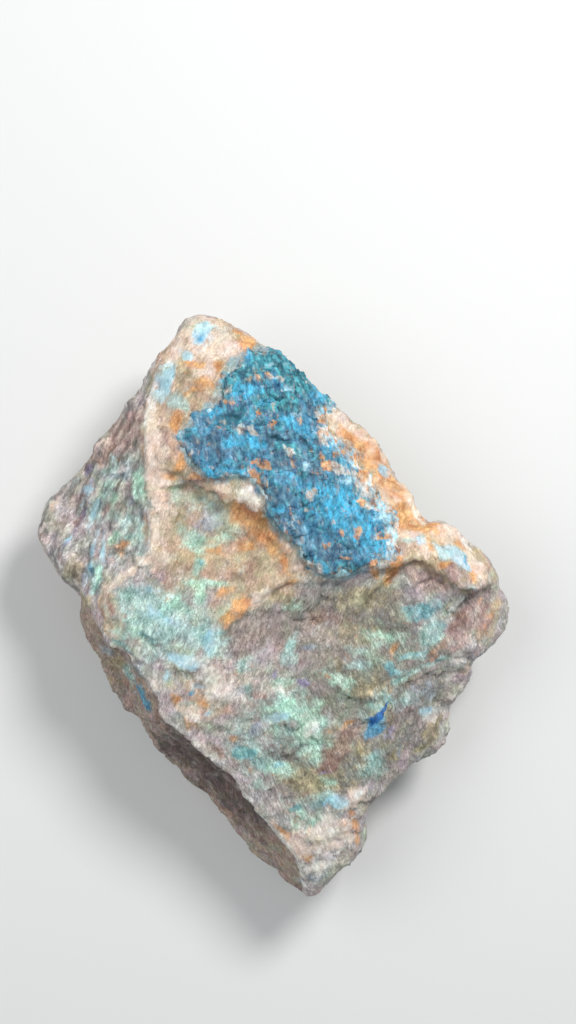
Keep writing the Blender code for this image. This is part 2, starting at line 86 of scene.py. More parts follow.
# Patches on the upper face, of minerals and of the bare rock's tones, among them painted shade and
# painted light:
# (x, y, long half axis, short half axis, heading) in millimetres and degrees from +X, with a share
# from 0 to 1 where cover is thin.
PATCHES = {
    "warm": [
        (-11.2, 39.6, 9, 8, 40), (-18.1, 26.6, 9, 3.5, 90), (-12.7, 12.6, 8.5, 8, 0),
        (-2.1, 8.1, 7, 6.5, -35), (16.4, 21.6, 15, 5.5, -57), (27.9, 9.6, 9, 4, -28),
        (-7.2, 0.6, 4, 3, 50), (7.8, -37.4, 4, 2.5, -30, 0.55), (-26.6, -0.4, 4.5, 1.6, 100),
        (-7.2, 20.6, 6, 3.5, -25), (-12.2, -14.4, 5, 3, -30, 0.7), (35.9, -1.4, 4, 2, 55, 0.8),
    ],
    # Painted shade: darker stone under the ledges and on faces turned away from the key light.
    "shade": [
        (9.8, -1.9, 11, 5.5, 0), (14.6, -2.5, 9, 6, 0), (14.8, -10.4, 13, 8, 20),
        (19.5, -15.5, 6, 4, 30), (8, -28, 8, 5, 0), (15.5, -25, 6, 4, 20),
        (-25, 28.5, 6, 3, 45, 0.9), (21.9, -19.4, 9, 7, 60, 0.62), (4.8, -24.4, 9, 5, 0, 0.8),
        (13.8, 2.1, 6, 3, 5), (-4.2, -3.4, 6, 4, 35, 0.8), (25.9, -12.4, 8, 4, 40, 0.55),
    ],
    "green": [
        (19, -7, 9, 5, 20), (6, -22, 10, 7, 0, 0.8), (-17, -2, 8, 6, 0, 0.8),
        (-10, 16, 5, 4, 0, 0.7), (12, -12, 6, 4, 0, 0.8), (-26, 18, 4, 8, 0, 0.6),
    ],
    "mauve": [
        (-2.6, -3.4, 5.5, 3.5, 30), (7.8, -3.4, 5, 4, 0, 0.8), (10.8, -2.4, 3, 1, 80, 0.8),
        (6.3, -34.9, 3.2, 1.3, 0, 0.9), (-32.6, 19.6, 6, 1.2, 65), (-24.1, 17.1, 2, 0.8, 80, 0.9),
        (20.4, -18.4, 3, 1.5, 80, 0.8), (23.9, -12.4, 3.2, 1.5, 20, 0.75), (33.4, 0.6, 3.2, 2, 50),
        (3.9, -7.4, 3.5, 2, 20, 0.7), (-35.6, 9.1, 2.5, 0.7, 110, 0.8), (9.3, -41.4, 2, 0.8, 20),
        (-31.5, 19.8, 4, 1.8, 65, 0.75), (-4.5, -14.5, 4, 3, 0, 0.6),
    ],
    "pink": [
        (-25.6, 28.3, 4.8, 2.1, 45), (-23.4, 30.6, 3, 1.2, 70), (-1.1, -14.4, 4, 2.6, 0, 0.7),
        (-8.7, -10.4, 3, 2.8, 0, 0.58), (25.4, 4.6, 4.6, 1.4, -25), (35.4, -2.4, 2.5, 1.6, 50, 0.8),
        (-33.1, 14.1, 2.6, 0.5, 65), (-18.6, 19.3, 2.8, 0.9, 0, 0.8),
        (-28.1, 16.6, 1.3, 1.2, 0, 0.8), (29.9, 6.2, 2.2, 0.9, -30),
        (-18.4, 27.1, 5.5, 1.6, 90, 0.75), (31.4, -5.4, 2.5, 1.2, 45, 0.8),
        (32, -2.2, 5, 2, 50, 0.85), (-24.6, 29.2, 5.5, 2.6, 45, 0.8),
    ],
    "umber": [
        (11.3, -22.4, 4.2, 1.7, 50), (30.6, -2.2, 3.2, 1.2, 45, 0.62),
        (27.4, -5.9, 1.7, 1.1, 50, 0.8), (-12.2, 21.6, 2.5, 0.7, -5, 0.8),
        (2.9, 4.4, 1.5, 0.6, 0, 0.8), (20.9, -1.7, 1.5, 0.3, -15),
        (-9.2, -23.2, 1.4, 0.6, -40, 0.8), (-24.8, 10.2, 1.2, 1.1, 60, 0.8), (8.7, -26, 2, 0.7, 25),
        (5.3, -30.9, 0.9, 0.4, 0), (-26.8, 0.1, 2.2, 0.6, 95, 0.8), (21.9, 7.8, 2.6, 0.5, 10, 0.8),
        (-27.5, 26.2, 4.5, 0.8, 50, 0.7), (-4.5, 7.2, 3, 1.6, 30, 0.6),
        (8.5, -0.8, 3.5, 1.6, 0, 0.62),
    ],
    "olive": [
        (-17.1, 15.1, 3, 1.4, 20, 0.9), (3.4, -27.9, 2.8, 1.2, 0), (26.9, -20.4, 2.6, 1.2, 75),
        (24.9, -23.9, 1.6, 0.6, 20), (1.9, 2.4, 2.6, 1, 0, 0.75), (10.8, -8.9, 1.3, 1, 60, 0.75),
        (-33.1, 6.6, 2.4, 2, 60, 0.8), (-26.6, -8.9, 2.5, 1.5, 90, 0.8),
        (31.4, 2.9, 1.4, 0.7, 0, 0.8), (14.8, 2.1, 5, 2.3, 5, 0.8),
        (15.8, -12.4, 3.6, 1.5, -10, 0.8), (-2.4, 7.1, 3, 1.7, 20, 0.7),
        (28.4, -0.4, 1.6, 0.8, 80, 0.8), (20.4, -24.4, 2.2, 1, 30, 0.8),
        (-14.7, 38.1, 2, 1.5, 60, 0.7), (14.5, 3, 5, 1.4, 5, 0.75), (-31.5, 1.8, 3, 1.4, -20, 0.7),
        (15.4, -12.5, 3.2, 1.5, 10, 0.75), (14.4, -3.6, 5, 3, 0, 0.6), (17.6, -16.4, 3, 3, 0, 0.58),
        (26.2, -21, 2, 1.2, 60, 0.7), (7.4, -28.2, 5.4, 3, 5, 0.95), (14.5, -24, 4, 2.2, 40, 0.62),
    ],
    "turquoise": [
        (-19.1, -1.2, 6.2, 5, -30), (-11.3, -4.4, 3.8, 2.9, -25), (-23.1, 2.6, 2.2, 1.4, 30),
        (-25.1, -5.4, 1.8, 0.9, -30), (-29.6, 5.6, 3, 0.9, 85, 0.9), (-22.1, 13.6, 3.8, 1, 90, 0.8),
        (-10.7, 17.1, 3, 2.4, -40, 0.62), (25.9, -3.9, 2.6, 1.9, 40), (22.9, -7.6, 2.2, 0.8, 10),
        (14.8, -9.2, 2.4, 1, -10, 0.72), (18.5, -14.4, 1.7, 0.9, 70, 0.85),
        (-2.1, -25, 2.4, 1.3, -15), (-2.1, -28.9, 1.7, 1, 0, 0.75), (16.9, -25.9, 2.8, 2.3, 0, 0.8),
        (8.8, -31.4, 2.9, 1.4, 0, 0.8), (2.6, -6.6, 2.5, 1.3, 85, 0.8),
        (22.4, 11.8, 1.8, 0.9, -20, 0.85), (-4.7, -8.9, 1.6, 1.2, 0, 0.7),
        (-24.1, -10.9, 2.2, 1.1, 100, 0.7), (-29.1, 17.6, 4, 1.3, 75, 0.6),
        (-14.2, -15.9, 2, 1, -20, 0.6), (13.3, -6.9, 2, 1.2, 0, 0.5),
        (-15.7, 34.1, 2.2, 1.6, 60, 0.75), (-5.2, -13.4, 2, 1.2, 0, 0.6),
        (21.9, -14.9, 3, 1.4, 30, 0.6), (-27.1, 22.6, 3, 1.2, 80, 0.65),
        (24.6, -0.3, 3.2, 1.5, 0, 0.9), (27, -3.6, 2.2, 1.3, 50, 0.8), (1, -16, 4.5, 3, 10, 0.66),
        # The thin turquoise patches at (22, -10.9) and (27.5, -8.6) are a painted highlight along
        # the lower right ledge's crest.
        (8, -36.5, 4.5, 2.6, 0, 0.6), (-3.5, -23, 5, 3.5, -40, 0.6), (22, -10.9, 3.4, 0.7, 25, 0.8),
        (27.5, -8.6, 3, 0.6, 18, 0.66), (-25.4, 22.4, 2.6, 1.6, 20, 0.64),
        (-24, 14, 3.5, 1.6, 85, 0.6), (1.6, -20.6, 3.6, 2.4, 20, 0.64),
        (17.5, -15.5, 4, 2.4, 40, 0.56),
    ],
    "mint": [
        (6.3, -20.4, 4.6, 2.3, 80), (3.9, -17.1, 3.8, 1.5, 0), (-12.7, 11.6, 2.8, 1.8, -30, 0.95),
        (-12.3, 7.2, 1.9, 0.9, 90, 0.9), (-10.2, 4.4, 3, 0.7, 0, 0.9), (-22.1, 20.6, 2.9, 1.1, 88),
        (-26.6, 18.6, 1.1, 0.8, -40), (-27.4, 20.4, 0.9, 0.7, 60), (-26.3, 12.2, 1.1, 0.8, 60),
        (16.9, -5, 3, 1.5, 80, 0.54), (15.3, -3.4, 1.6, 1, 0, 0.46),
        (10.8, -11.6, 2.7, 1.2, -30, 0.64), (1.1, -12.4, 1.8, 1.5, 0, 0.75),
        (0.8, -26.4, 2.6, 1.2, -10, 0.85), (-12.2, 2.6, 1.6, 1, 90, 0.75),
        (-8.7, 11.6, 2, 1, 0, 0.65), (-23.1, -3.4, 2.4, 1.2, -20, 0.75),
        (-16.1, 1.1, 2.4, 1.2, 60, 0.7), (-29.1, 6.6, 1.6, 0.7, 80, 0.9),
        (2.9, 0.6, 1.8, 0.8, 0, 0.65), (9.8, -28.4, 2.2, 1.2, 0, 0.58),
        (6, -20.2, 4.6, 2.8, 85, 0.95), (18, -5.4, 3.6, 2.2, 10, 0.5), (1.5, -16, 4, 2.4, 30, 0.66),
        (5.5, -34.6, 4.5, 2.2, -35, 0.58),
    ],
    "teal": [
        (24.9, -0.2, 2.9, 1.4, -5, 0.8), (24.4, -1.3, 1.3, 0.5, 0), (-5.2, -23.7, 2.3, 1.1, -10),
        (19.6, -9.6, 1.9, 0.7, -40, 0.9), (3.4, -33.1, 1.1, 0.6, 20, 0.9),
        (-21.1, -4.2, 2, 0.8, -15, 0.6), (0.3, -25.9, 1.5, 0.7, 0, 0.7),
        (12.3, 6.9, 1.8, 0.7, 0, 0.9), (-12, 7.8, 0.9, 0.4, 90, 0.6),
    ],
    "slate": [
        (7.3, -44.6, 3, 1.4, 25, 0.8), (9.3, -41.7, 2, 0.7, 20, 0.65), (-27.9, -6.7, 1.6, 1, -30),
        (-31.4, 5.6, 1.9, 0.7, 80, 0.85), (-3.1, -20, 1.5, 1.3, 60, 0.85),
        (-21.6, -10.9, 3, 1, -50, 0.8), (21.2, -23.8, 1.2, 1, 60, 0.7),
        (-23.6, 18.1, 1.4, 0.6, 60, 0.8), (5.8, -6.2, 2.2, 0.7, 0, 0.7),
        (-25.3, 22.8, 2.6, 1.6, 20, 0.7), (-11.5, 14.5, 4, 2.2, 20, 0.6),
        (25, -14, 4, 2.6, 30, 0.62), (7.5, -42, 4, 2, 30, 0.5),
    ],
    "cream": [
        (-11.7, 44.6, 5.6, 3.6, -15, 0.85), (-7.7, 43, 4, 1.5, -20, 0.9),
        (-11.7, 39.2, 3.2, 2.4, 20, 0.7), (-16.1, 42.1, 2.4, 1.1, 60), (-20.1, 30.6, 4.5, 1.2, 90),
        (-19.8, 23.6, 4.5, 1.1, 90), (-19.4, 12.6, 5, 0.9, 90, 0.9), (-21.9, 8, 2.6, 1, 35, 0.85),
        (-24.2, 6.1, 2.8, 1.1, 35, 0.7), (-27, 3.6, 2.2, 0.9, 45, 0.62),
        (11.8, 30.2, 4.2, 1.6, -48), (17.5, 25.2, 5, 1.5, -57), (22.2, 18.3, 4.5, 1.4, -60),
        (18.9, 18.9, 3.4, 1.8, -50, 0.9), (22.2, 12.8, 2.6, 1.1, -25, 0.9),
        (2.6, 10.8, 1.9, 1.4, -40, 0.9), (3.6, 7.9, 1.6, 0.9, -70, 0.9),
        (-8, 20.5, 1.5, 0.9, -20, 0.9), (28.9, 11.8, 4.4, 1.5, -30), (32.9, 7.6, 3.2, 1.5, -55),
        (24.9, 10.2, 2.4, 1.3, -20, 0.8), (-2.4, 2.2, 2.6, 1, 30, 0.9),
        (9.8, -39.1, 4, 1.5, 20, 0.8), (13.4, -31.4, 2.6, 1.3, 40, 0.95),
        (3.6, -39, 3.4, 0.9, -42, 0.9), (-14.2, -16.4, 2.6, 1.2, -20, 0.7),
        (-18.6, 8.6, 3, 2, 60, 0.65), (32.6, -10.2, 2, 0.5, 70, 0.9),
        (-20.1, -11.8, 2, 1.2, -40, 0.65), (4.8, 6.6, 2.4, 0.9, -20, 0.75),
        (-37.1, 17.1, 2.2, 0.8, 60, 0.7), (-16.1, 6.1, 3.2, 1.4, 10, 0.55),
        (-18.4, 19, 8, 2.1, 90, 0.75), (-19.5, 27.5, 5, 1.4, 90, 0.85),
        (12, -37.5, 2.6, 1.4, 60, 0.8), (8.6, -38.4, 4.8, 2.8, 10, 0.74),
    ],
    "rust": [
        (-3.8, 43.8, 2.3, 1.3, -32), (-5.4, 45.6, 1.6, 0.8, -30, 0.8),
        (-9, 39.9, 1.2, 0.8, 70, 0.9), (-12.5, 40.6, 2.2, 0.6, 0, 0.8),
        (-11.2, 37.5, 1.7, 1.2, 0, 0.75), (-12.8, 35.8, 2, 0.8, 10, 0.8),
        (-15.8, 31.3, 1.8, 1.3, 70, 0.8), (-14.8, 24, 1.7, 1.2, 60, 0.85),
        (-12.5, 22.3, 2.2, 0.6, -5, 0.8), (-5.8, 16.8, 1.5, 1, 70, 0.9),
        (-3.5, 15.2, 2.9, 2.1, -25), (-1, 12.6, 2.8, 1.5, -45, 0.95), (0, 10, 2.6, 1.4, -40, 0.62),
        (1.5, 7.6, 2.6, 1.1, -65, 0.6), (-4.8, 10.6, 2.6, 1.2, -10, 0.65),
        (12.4, 28.8, 2.4, 1, -50, 0.9), (14.4, 26.6, 2.6, 1.1, -58, 0.95),
        (18, 22.4, 9, 2.2, -57, 0.7), (24.6, 14, 4.5, 2.6, -45, 0.66),
        (-2.5, 44.4, 3, 1.6, -35, 0.6), (15, 26.6, 4, 1.7, -57, 0.72),
        (20.9, 15.2, 2.4, 1.8, -50, 0.95), (17.1, 23.6, 1.8, 1, -58, 0.8),
        (18.9, 21.9, 1.8, 1, -50, 0.85), (21.7, 16.1, 2.4, 1.5, -50),
        (22.5, 13.6, 2.2, 0.8, -20, 0.9), (25.7, 13.1, 2.4, 0.6, 0, 0.9),
        (25.5, 11, 1.7, 0.8, -40, 0.85), (19.5, 6.4, 2.4, 0.9, 65), (30.9, 10.6, 1.5, 1, -30, 0.8),
        (28.1, 7.6, 1, 0.6, -10, 0.9), (32.6, 6.1, 1.3, 0.6, 95, 0.9),
        (16.5, 6.6, 1.3, 0.8, -60, 0.85), (-5.6, 0.8, 2, 1.5, 60, 0.95),
        (-7.2, -1.3, 1.7, 1.1, 60, 0.8), (-7.8, 3.2, 1.8, 1.2, 20, 0.65),
        (-16.6, -14.4, 1.9, 0.8, 100, 0.7), (-11.7, -15.2, 1.6, 0.8, 10, 0.66),
        (-10.2, -12.8, 1.2, 0.9, 0, 0.7), (-13.2, -19, 1.5, 0.9, -20, 0.7),
        (-6.4, -20.9, 1.1, 0.6, 0, 0.7), (12.4, -18.8, 1.6, 0.8, 30, 0.64), (13.2, -36, 1, 0.5, 90),
        (12.8, -34.2, 1.1, 0.5, 90, 0.75), (10.4, -35.8, 1.8, 0.8, 0, 0.7),
        (2.1, -37.4, 1.8, 0.7, -40, 0.85), (5.8, -41.8, 1.5, 0.8, -60, 0.85),
        (14, -38.4, 1.6, 0.5, 95, 0.75), (19.9, -6.9, 1.5, 0.6, 80, 0.64),
        (26.5, -7.8, 1.5, 0.7, 30, 0.56), (-24.8, 10.3, 1.3, 1, 60, 0.6),
        (36.1, -2, 2, 0.9, 60, 0.42), (-9.7, 9.4, 1.4, 0.8, 0, 0.6),
        (9.5, -19.9, 1.4, 0.7, 40, 0.55), (34.4, 1.8, 0.8, 0.4, 30, 0.5),
        (-17.1, 22.1, 1.4, 0.7, 0, 0.7), (2.9, 4.6, 1.8, 0.7, 0, 0.65),
    ],
    "sky": [
        (-11.6, 45.4, 1.9, 1.7, 60), (-14.3, 41.9, 1.5, 0.6, -20, 0.85),
        (-18.4, 37.2, 3.6, 1.4, 62, 0.95), (-17.6, 36, 1.8, 0.9, 75), (29.2, 9, 3.3, 1.1, -30),
        (31.9, 7.4, 1.3, 0.7, -55), (18, 22.9, 1.3, 0.9, -30, 0.9), (-14.6, -8.3, 2.8, 1.1, -8),
        (-10.6, -5.4, 2.2, 1.5, 90, 0.62), (-12.8, -12.4, 1.7, 0.8, 0, 0.7),
        (-17.5, -10.8, 1.1, 0.6, 20, 0.8), (-19.3, -0.9, 2.6, 1.4, -20, 0.62),
        (-30.4, 8.6, 5.5, 0.7, 80, 0.62), (-31.3, 19.6, 3.5, 0.8, 68, 0.62),
        (25.5, -17.4, 1.7, 1.2, 30, 0.75), (0.3, -17.8, 2, 0.7, 10, 0.95),
        (10.3, -32, 2.1, 1, 0, 0.8), (-10.5, -16.8, 1.1, 0.6, 0, 0.8),
        (-19.6, 3.4, 1.5, 0.7, 0, 0.6), (22.7, -7.4, 1.8, 0.5, 15, 0.8),
        (-34.4, 11.6, 1.5, 0.5, 65, 0.7), (23.9, 11.4, 1.3, 0.7, 0, 0.7),
        (-29.6, 16.5, 4.2, 0.6, 72, 0.62), (-28.2, 9.5, 4.5, 0.55, 85, 0.6),
    ],
    "azure": [
        (16.5, -19.3, 2.4, 1.3, 54, 0.95), (-21.8, -14.7, 2.4, 0.7, -68, 0.9),
        (-11.5, 45.3, 1.5, 1.3, 60, 0.6), (-14, -13.4, 0.9, 0.5, 40, 0.72),
        (-2.9, 19.6, 1, 0.6, -60, 0.85), (31.7, 8.2, 1.3, 0.4, -50, 0.7),
        (-30.3, 6.6, 1.5, 0.35, 82, 0.75),
    ],
    "violet": [
        (4.9, -11.9, 0.9, 0.4, 0, 0.95), (-30.8, 23.2, 1.3, 0.7, 30, 0.62),
        (-33.5, 12.6, 2, 0.5, 65, 0.85), (-34.8, 10.4, 1.5, 0.5, 60, 0.75),
        (8.4, -27, 1.3, 0.4, 25, 0.8), (19.1, -20.4, 1.5, 0.7, 70, 0.65),
        (-23.4, -7, 1, 0.5, -40, 0.7), (0.1, -10.4, 1.2, 0.5, 80, 0.6),
        (-31.8, 15.6, 3.4, 0.8, 62, 0.52), (-30.4, 22.4, 1.5, 0.5, 80, 0.58),
    ],
    "indigo": [
        (17.2, -17.6, 1.7, 0.55, 48), (18.7, -15.9, 0.9, 0.3, 62, 0.9),
    ],
    "white": [
        (-3.8, 18.8, 2.3, 1.6, -48), (-19.8, 35.6, 2.4, 0.9, 75, 0.8),
        (-12, 42.4, 1.8, 0.5, 0, 0.6), (10.2, -40.6, 2.2, 0.5, 25, 0.7),
        (14.4, -30.4, 1.5, 0.6, 50, 0.8), (-13.2, -17.4, 1.7, 0.6, -20, 0.6),
        (23.7, 16.2, 2.2, 0.5, -58, 0.8), (31.4, 11.8, 2, 0.5, -45, 0.8),
        (-17.8, -9.4, 1.6, 0.4, -10, 0.6), (-33.8, 13.8, 1.8, 1.1, 60, 0.6),
        (-27.2, 13.5, 1.6, 0.7, 80, 0.55), (-9.5, -12, 5.5, 3.5, -30, 0.66),
        (9, -36.5, 4.5, 3, 0, 0.66), (7.6, -42.6, 3.4, 2, 20, 0.72), (0.4, -12.6, 3, 1.6, 20, 0.52),
        # The white patches at (31, -7.2), (30.6, -9.4) and (27.4, -17.6) are painted light along
        # the lower right ledge and rim.
        (-25.4, 23.4, 1.8, 1, 20, 0.6), (31, -7.2, 2.6, 0.8, 18, 0.62), (6, -19.4, 3.2, 2, 75, 0.5),
        (30.6, -9.4, 4, 1.4, 62, 0.56), (27.4, -17.6, 5, 1.4, 52, 0.5),
    ],
}

# The blue crust, seen from above, in millimetres.  It runs over the upper right edge.
CRUST_OUTLINE = [
    (-16, 28.4), (-14.2, 30.1), (-12.8, 31.8), (-11, 33), (-9.8, 35), (-9.2, 37.2),
    (-8, 39.2), (-6.6, 41), (-4.6, 42.2), (-2.4, 42.8), (-1.3, 44.6), (1.9, 44.2),
    (4.8, 41.8), (8.2, 38.8), (11.2, 36), (11.4, 33.8), (9.4, 32), (9.7, 29.6), (12, 28.4),
    (14.2, 26.4), (15.4, 23.6), (16.5, 21.2), (18.9, 18.8), (20.5, 15.6), (20.9, 12.6),
    (20.5, 9.2), (19.2, 8), (17.2, 8.3), (15.8, 7.1), (13.2, 6), (10.8, 5.6), (9, 5.8),
    (6.8, 6.9), (4.8, 8.2), (4.1, 10.1), (2.9, 11.8), (1.1, 13), (-0.6, 14.6), (-1.3, 16.6),
    (-1.4, 18.6), (-2.4, 20.1), (-2.9, 21.4), (-4.8, 21.9), (-8.2, 21.9), (-11.7, 22.1),
    (-12.8, 23.6), (-14.1, 25.2), (-14.8, 26.6),
]

# How far inside its ragged outline the crust ends and where it is fully raised, how far its
# edge dips under the rock, and the height that it keeps above.
CRUST_EDGE = -0.45
CRUST_INNER = 0.9
CRUST_DIP = 0.3
CRUST_FLOOR = 12.0

# Patches of colour in the crust, given like those of the rock.
CRUST_PATCHES = {
    "azure": [
        (-9.3, 32.6, 1.4, 1.0, 0), (-6.2, 27.9, 2.4, 1.1, 20, 0.9), (-3.1, 27.6, 1.7, 1.5, 0, 0.85),
        (-10.8, 22.7, 3.2, 0.8, 0), (-5.6, 22.6, 2.4, 0.6, 0, 0.9), (-4.7, 36, 2, 1.2, 10, 0.9),
        (5.2, 29.2, 1.8, 1.7, 60, 0.68), (1.9, 31.1, 1.5, 0.9, 0, 0.8), (10, 18, 4, 3, -22),
        (11.7, 14.6, 3, 1.6, -20), (17, 10.8, 3, 2, 20, 0.8), (8.8, 20.6, 2, 1.1, 0, 0.85),
        (15.2, 13.6, 1.5, 1.2, 60, 0.95), (18.4, 9.9, 1.9, 1.5, 0),
        (3.6, 21.5, 1.8, 0.7, -40, 0.62), (0.8, 16.6, 1.3, 0.8, 0, 0.7),
        (7.3, 35.1, 1.4, 1, -45, 0.8), (12.3, 19.6, 1.5, 1, 0, 0.7), (15.8, 11.1, 1.2, 0.8, 0, 0.7),
        (-1.5, 33.8, 1.5, 0.7, 0, 0.7), (-7.7, 24.1, 1.6, 0.6, 0, 0.6),
        (12.8, 11.9, 1.2, 0.6, -30, 0.7), (-13, 26.1, 1.0, 0.5, 60, 0.6),
    ],
    "teal": [
        (-0.1, 40.9, 3.6, 1.9, -15), (3.5, 38.2, 3.3, 1.9, -45), (-3.8, 39.2, 3.2, 1.6, 20, 0.9),
        (0.3, 34.2, 4.2, 1.6, -5, 0.95), (2.9, 26.2, 3.2, 1.3, -20, 0.85),
        (4.6, 22.1, 1.4, 0.9, 80, 0.8), (12.4, 7, 1.9, 0.9, 0, 0.9),
        (-6.6, 37.2, 2.8, 1.8, 40, 0.92), (6.4, 25.6, 2, 0.8, -30, 0.7),
        (8.4, 35.6, 2.2, 1.2, -45, 0.8), (-4.7, 32.9, 2, 0.8, 0, 0.65),
        (13.8, 17.1, 1.6, 0.8, -30, 0.7), (18.5, 15.1, 2, 0.9, -60, 0.6),
        (-14.2, 29.1, 1.5, 0.8, 60, 0.6),
    ],
    "deep": [
        (6.8, 10.6, 3.4, 1.5, -30), (1.5, 26.8, 4.5, 2.4, -10, 0.85), (-6.2, 33.2, 3.4, 2, 10, 0.8),
        (2.9, 14.6, 2.7, 1.5, -40), (10.3, 9.4, 2.8, 1.2, -15), (-12.6, 26.6, 2.2, 2, 60, 0.9),
        (-8.2, 25.6, 3.2, 1.3, 0, 0.85), (2.2, 18.2, 2.2, 1.5, -50, 0.85),
        (-11.6, 30.6, 1.6, 1.3, 0, 0.85), (14.3, 9.1, 2, 0.8, 0, 0.7), (-4.2, 24.6, 2, 0.8, 0, 0.7),
        (-1.1, 32.1, 2, 0.7, 0, 0.6), (4.8, 13.1, 2, 0.8, -30, 0.8), (3.8, 24.6, 4.2, 3.4, 0, 0.95),
        (-9, 27.5, 4, 3, 0, 0.7), (-8.5, 33, 2.5, 1.8, 0, 0.7), (5.8, 33.1, 1.5, 0.7, -40, 0.6),
        (1.9, 22.6, 1.5, 0.7, -45, 0.7),
    ],
    # Hollows of the crust: sunk, and painted with shade.
    "hollow": [
        (-6.8, 31.4, 1.7, 0.6, 20), (1.1, 28, 2, 0.4, -10), (5.8, 26.8, 1.6, 0.3, -40, 0.8),
        (-2.5, 30.6, 0.8, 0.3, 40, 0.7), (12.3, 10.3, 1.3, 0.3, -20, 0.7),
        (0.1, 34.8, 1.6, 0.3, -10, 0.6),
    ],
    "sky": [
        (11.8, 27, 2.7, 1.4, -40), (13.2, 24.6, 1.7, 1.0, -30, 0.95),
        (18, 16.8, 2.8, 1.8, 110, 0.8), (13, 21.5, 1.8, 0.9, 0, 0.85), (9.4, 33, 1.3, 1, -45, 0.8),
        (10.2, 28.6, 1.7, 0.9, -45, 0.85), (15.3, 19.4, 1.7, 1, -40, 0.7),
        (19.7, 12.2, 1.2, 0.8, 90, 0.7), (2.1, 36.1, 1.4, 0.5, 30, 0.6),
        (-1.9, 36.5, 0.9, 0.4, 30, 0.6), (5.3, 23.8, 1.2, 0.5, 60, 0.6), (4, 32, 1.5, 0.5, 0, 0.8),
    ],
    "white": [
        (10.4, 23.2, 1.4, 1.0, 0), (8.2, 29, 2, 0.9, 82, 0.9), (-5, 29.7, 1.5, 0.8, 0, 0.95),
        (-3.1, 28.9, 0.7, 0.5, 0, 0.8), (2.2, 26.1, 1.5, 0.45, -60, 0.9),
        (3.2, 25.8, 1.0, 0.3, -60, 0.9), (5.4, 16.5, 0.9, 0.3, -50, 0.9),
        (15.4, 20.6, 2.8, 1.6, -50, 0.8), (14.7, 17.4, 1.6, 0.8, -20, 0.7),
        (6, 19, 1.3, 0.8, 80, 0.7), (-9.2, 35.2, 1.8, 1.1, 40, 0.7), (19.5, 17.6, 2, 0.8, -60, 0.8),
        (12.4, 22.6, 1.3, 0.7, 0, 0.7), (7.4, 32.2, 1.2, 0.6, -60, 0.7),
        (-13.5, 25.2, 1.2, 0.6, 60, 0.7), (0.1, 38, 1.4, 0.6, 0, 0.65),
        (6.2, 7.5, 1.4, 0.5, -30, 0.7), (16.9, 12, 0.8, 0.5, 0, 0.6),
    ],
    "rust": [
        (-2.4, 21.6, 2, 0.9, -55), (-1.6, 23.4, 1.2, 0.6, -40, 0.85),
        (-3.4, 24.5, 0.6, 0.4, 0, 0.9), (8.7, 23.5, 1.0, 0.9, 70), (7.8, 25.3, 0.9, 0.5, 0, 0.9),
        (13.7, 13.1, 1.0, 0.8, 80), (18.2, 12.2, 1.2, 0.5, 0, 0.95), (12, 8.7, 1.0, 0.4, 0, 0.95),
        (-7.5, 34.3, 0.9, 0.6, -40, 0.62), (-8.6, 30, 0.6, 0.4, 0, 0.9),
        (-2.1, 38.3, 1.5, 0.8, -10, 0.6), (-0.1, 30.6, 0.9, 0.5, 20, 0.66),
        (4.4, 31.1, 0.7, 0.4, 60, 0.66), (7.8, 31.4, 1.1, 0.7, 60, 0.75),
        (10.8, 25.9, 1.1, 0.5, 30, 0.8), (14.9, 22.6, 1.3, 1.1, 60, 0.9),
        (16.1, 7.8, 0.8, 0.6, 60, 0.9), (14.2, 18, 1.0, 0.5, 30, 0.8),
        (8.8, 10.9, 0.8, 0.4, 0, 0.7), (20.2, 16.8, 1.5, 0.8, -60, 0.8),
        (-2.5, 32.3, 0.7, 0.4, 60, 0.75), (14, 26.9, 1.3, 0.6, -50, 0.85),
        (17.2, 20.8, 1.3, 0.7, -45, 0.85), (11, 12.8, 0.7, 0.4, 0, 0.6),
        (-10.2, 27, 0.4, 0.3, 0, 0.7), (3.2, 23.8, 0.8, 0.4, -50, 0.6),
        (-10, 36.2, 0.8, 0.4, 60, 0.75), (6.4, 19.5, 0.7, 0.4, 0, 0.6),
        (16.7, 16.8, 0.7, 0.4, 0, 0.7), (6.8, 22.6, 0.7, 0.4, 0, 0.65),
    ],
}

# Top edge of the dark lower left flank, from the left-hand notch to the lower tip.
FLANK_EDGE = [
    (-37.1, 2.7), (-31.6, 1.7), (-27.6, -5.3), (-23.6, -8.3), (-20.6, -11.8), (-18.1, -18.3),
    (-13.2, -22.3), (-7.2, -27.3), (-4.7, -31.3), (-0.7, -36.8), (3.4, -41.3), (4.8, -45.8),
    (5.3, -52.8),
]

# Sharp crest between the left facet and the rest of the upper face.
RIDGE = [
    (-18.5, 41), (-20.8, 35), (-21, 29.6), (-21, 24.6), (-20.5, 19.6), (-20.3, 13.6),
    (-20.2, 10), (-21.9, 7.9), (-24.1, 6.2), (-27.1, 3.9), (-28.6, 1.1), (-27.9, -2.4),
]

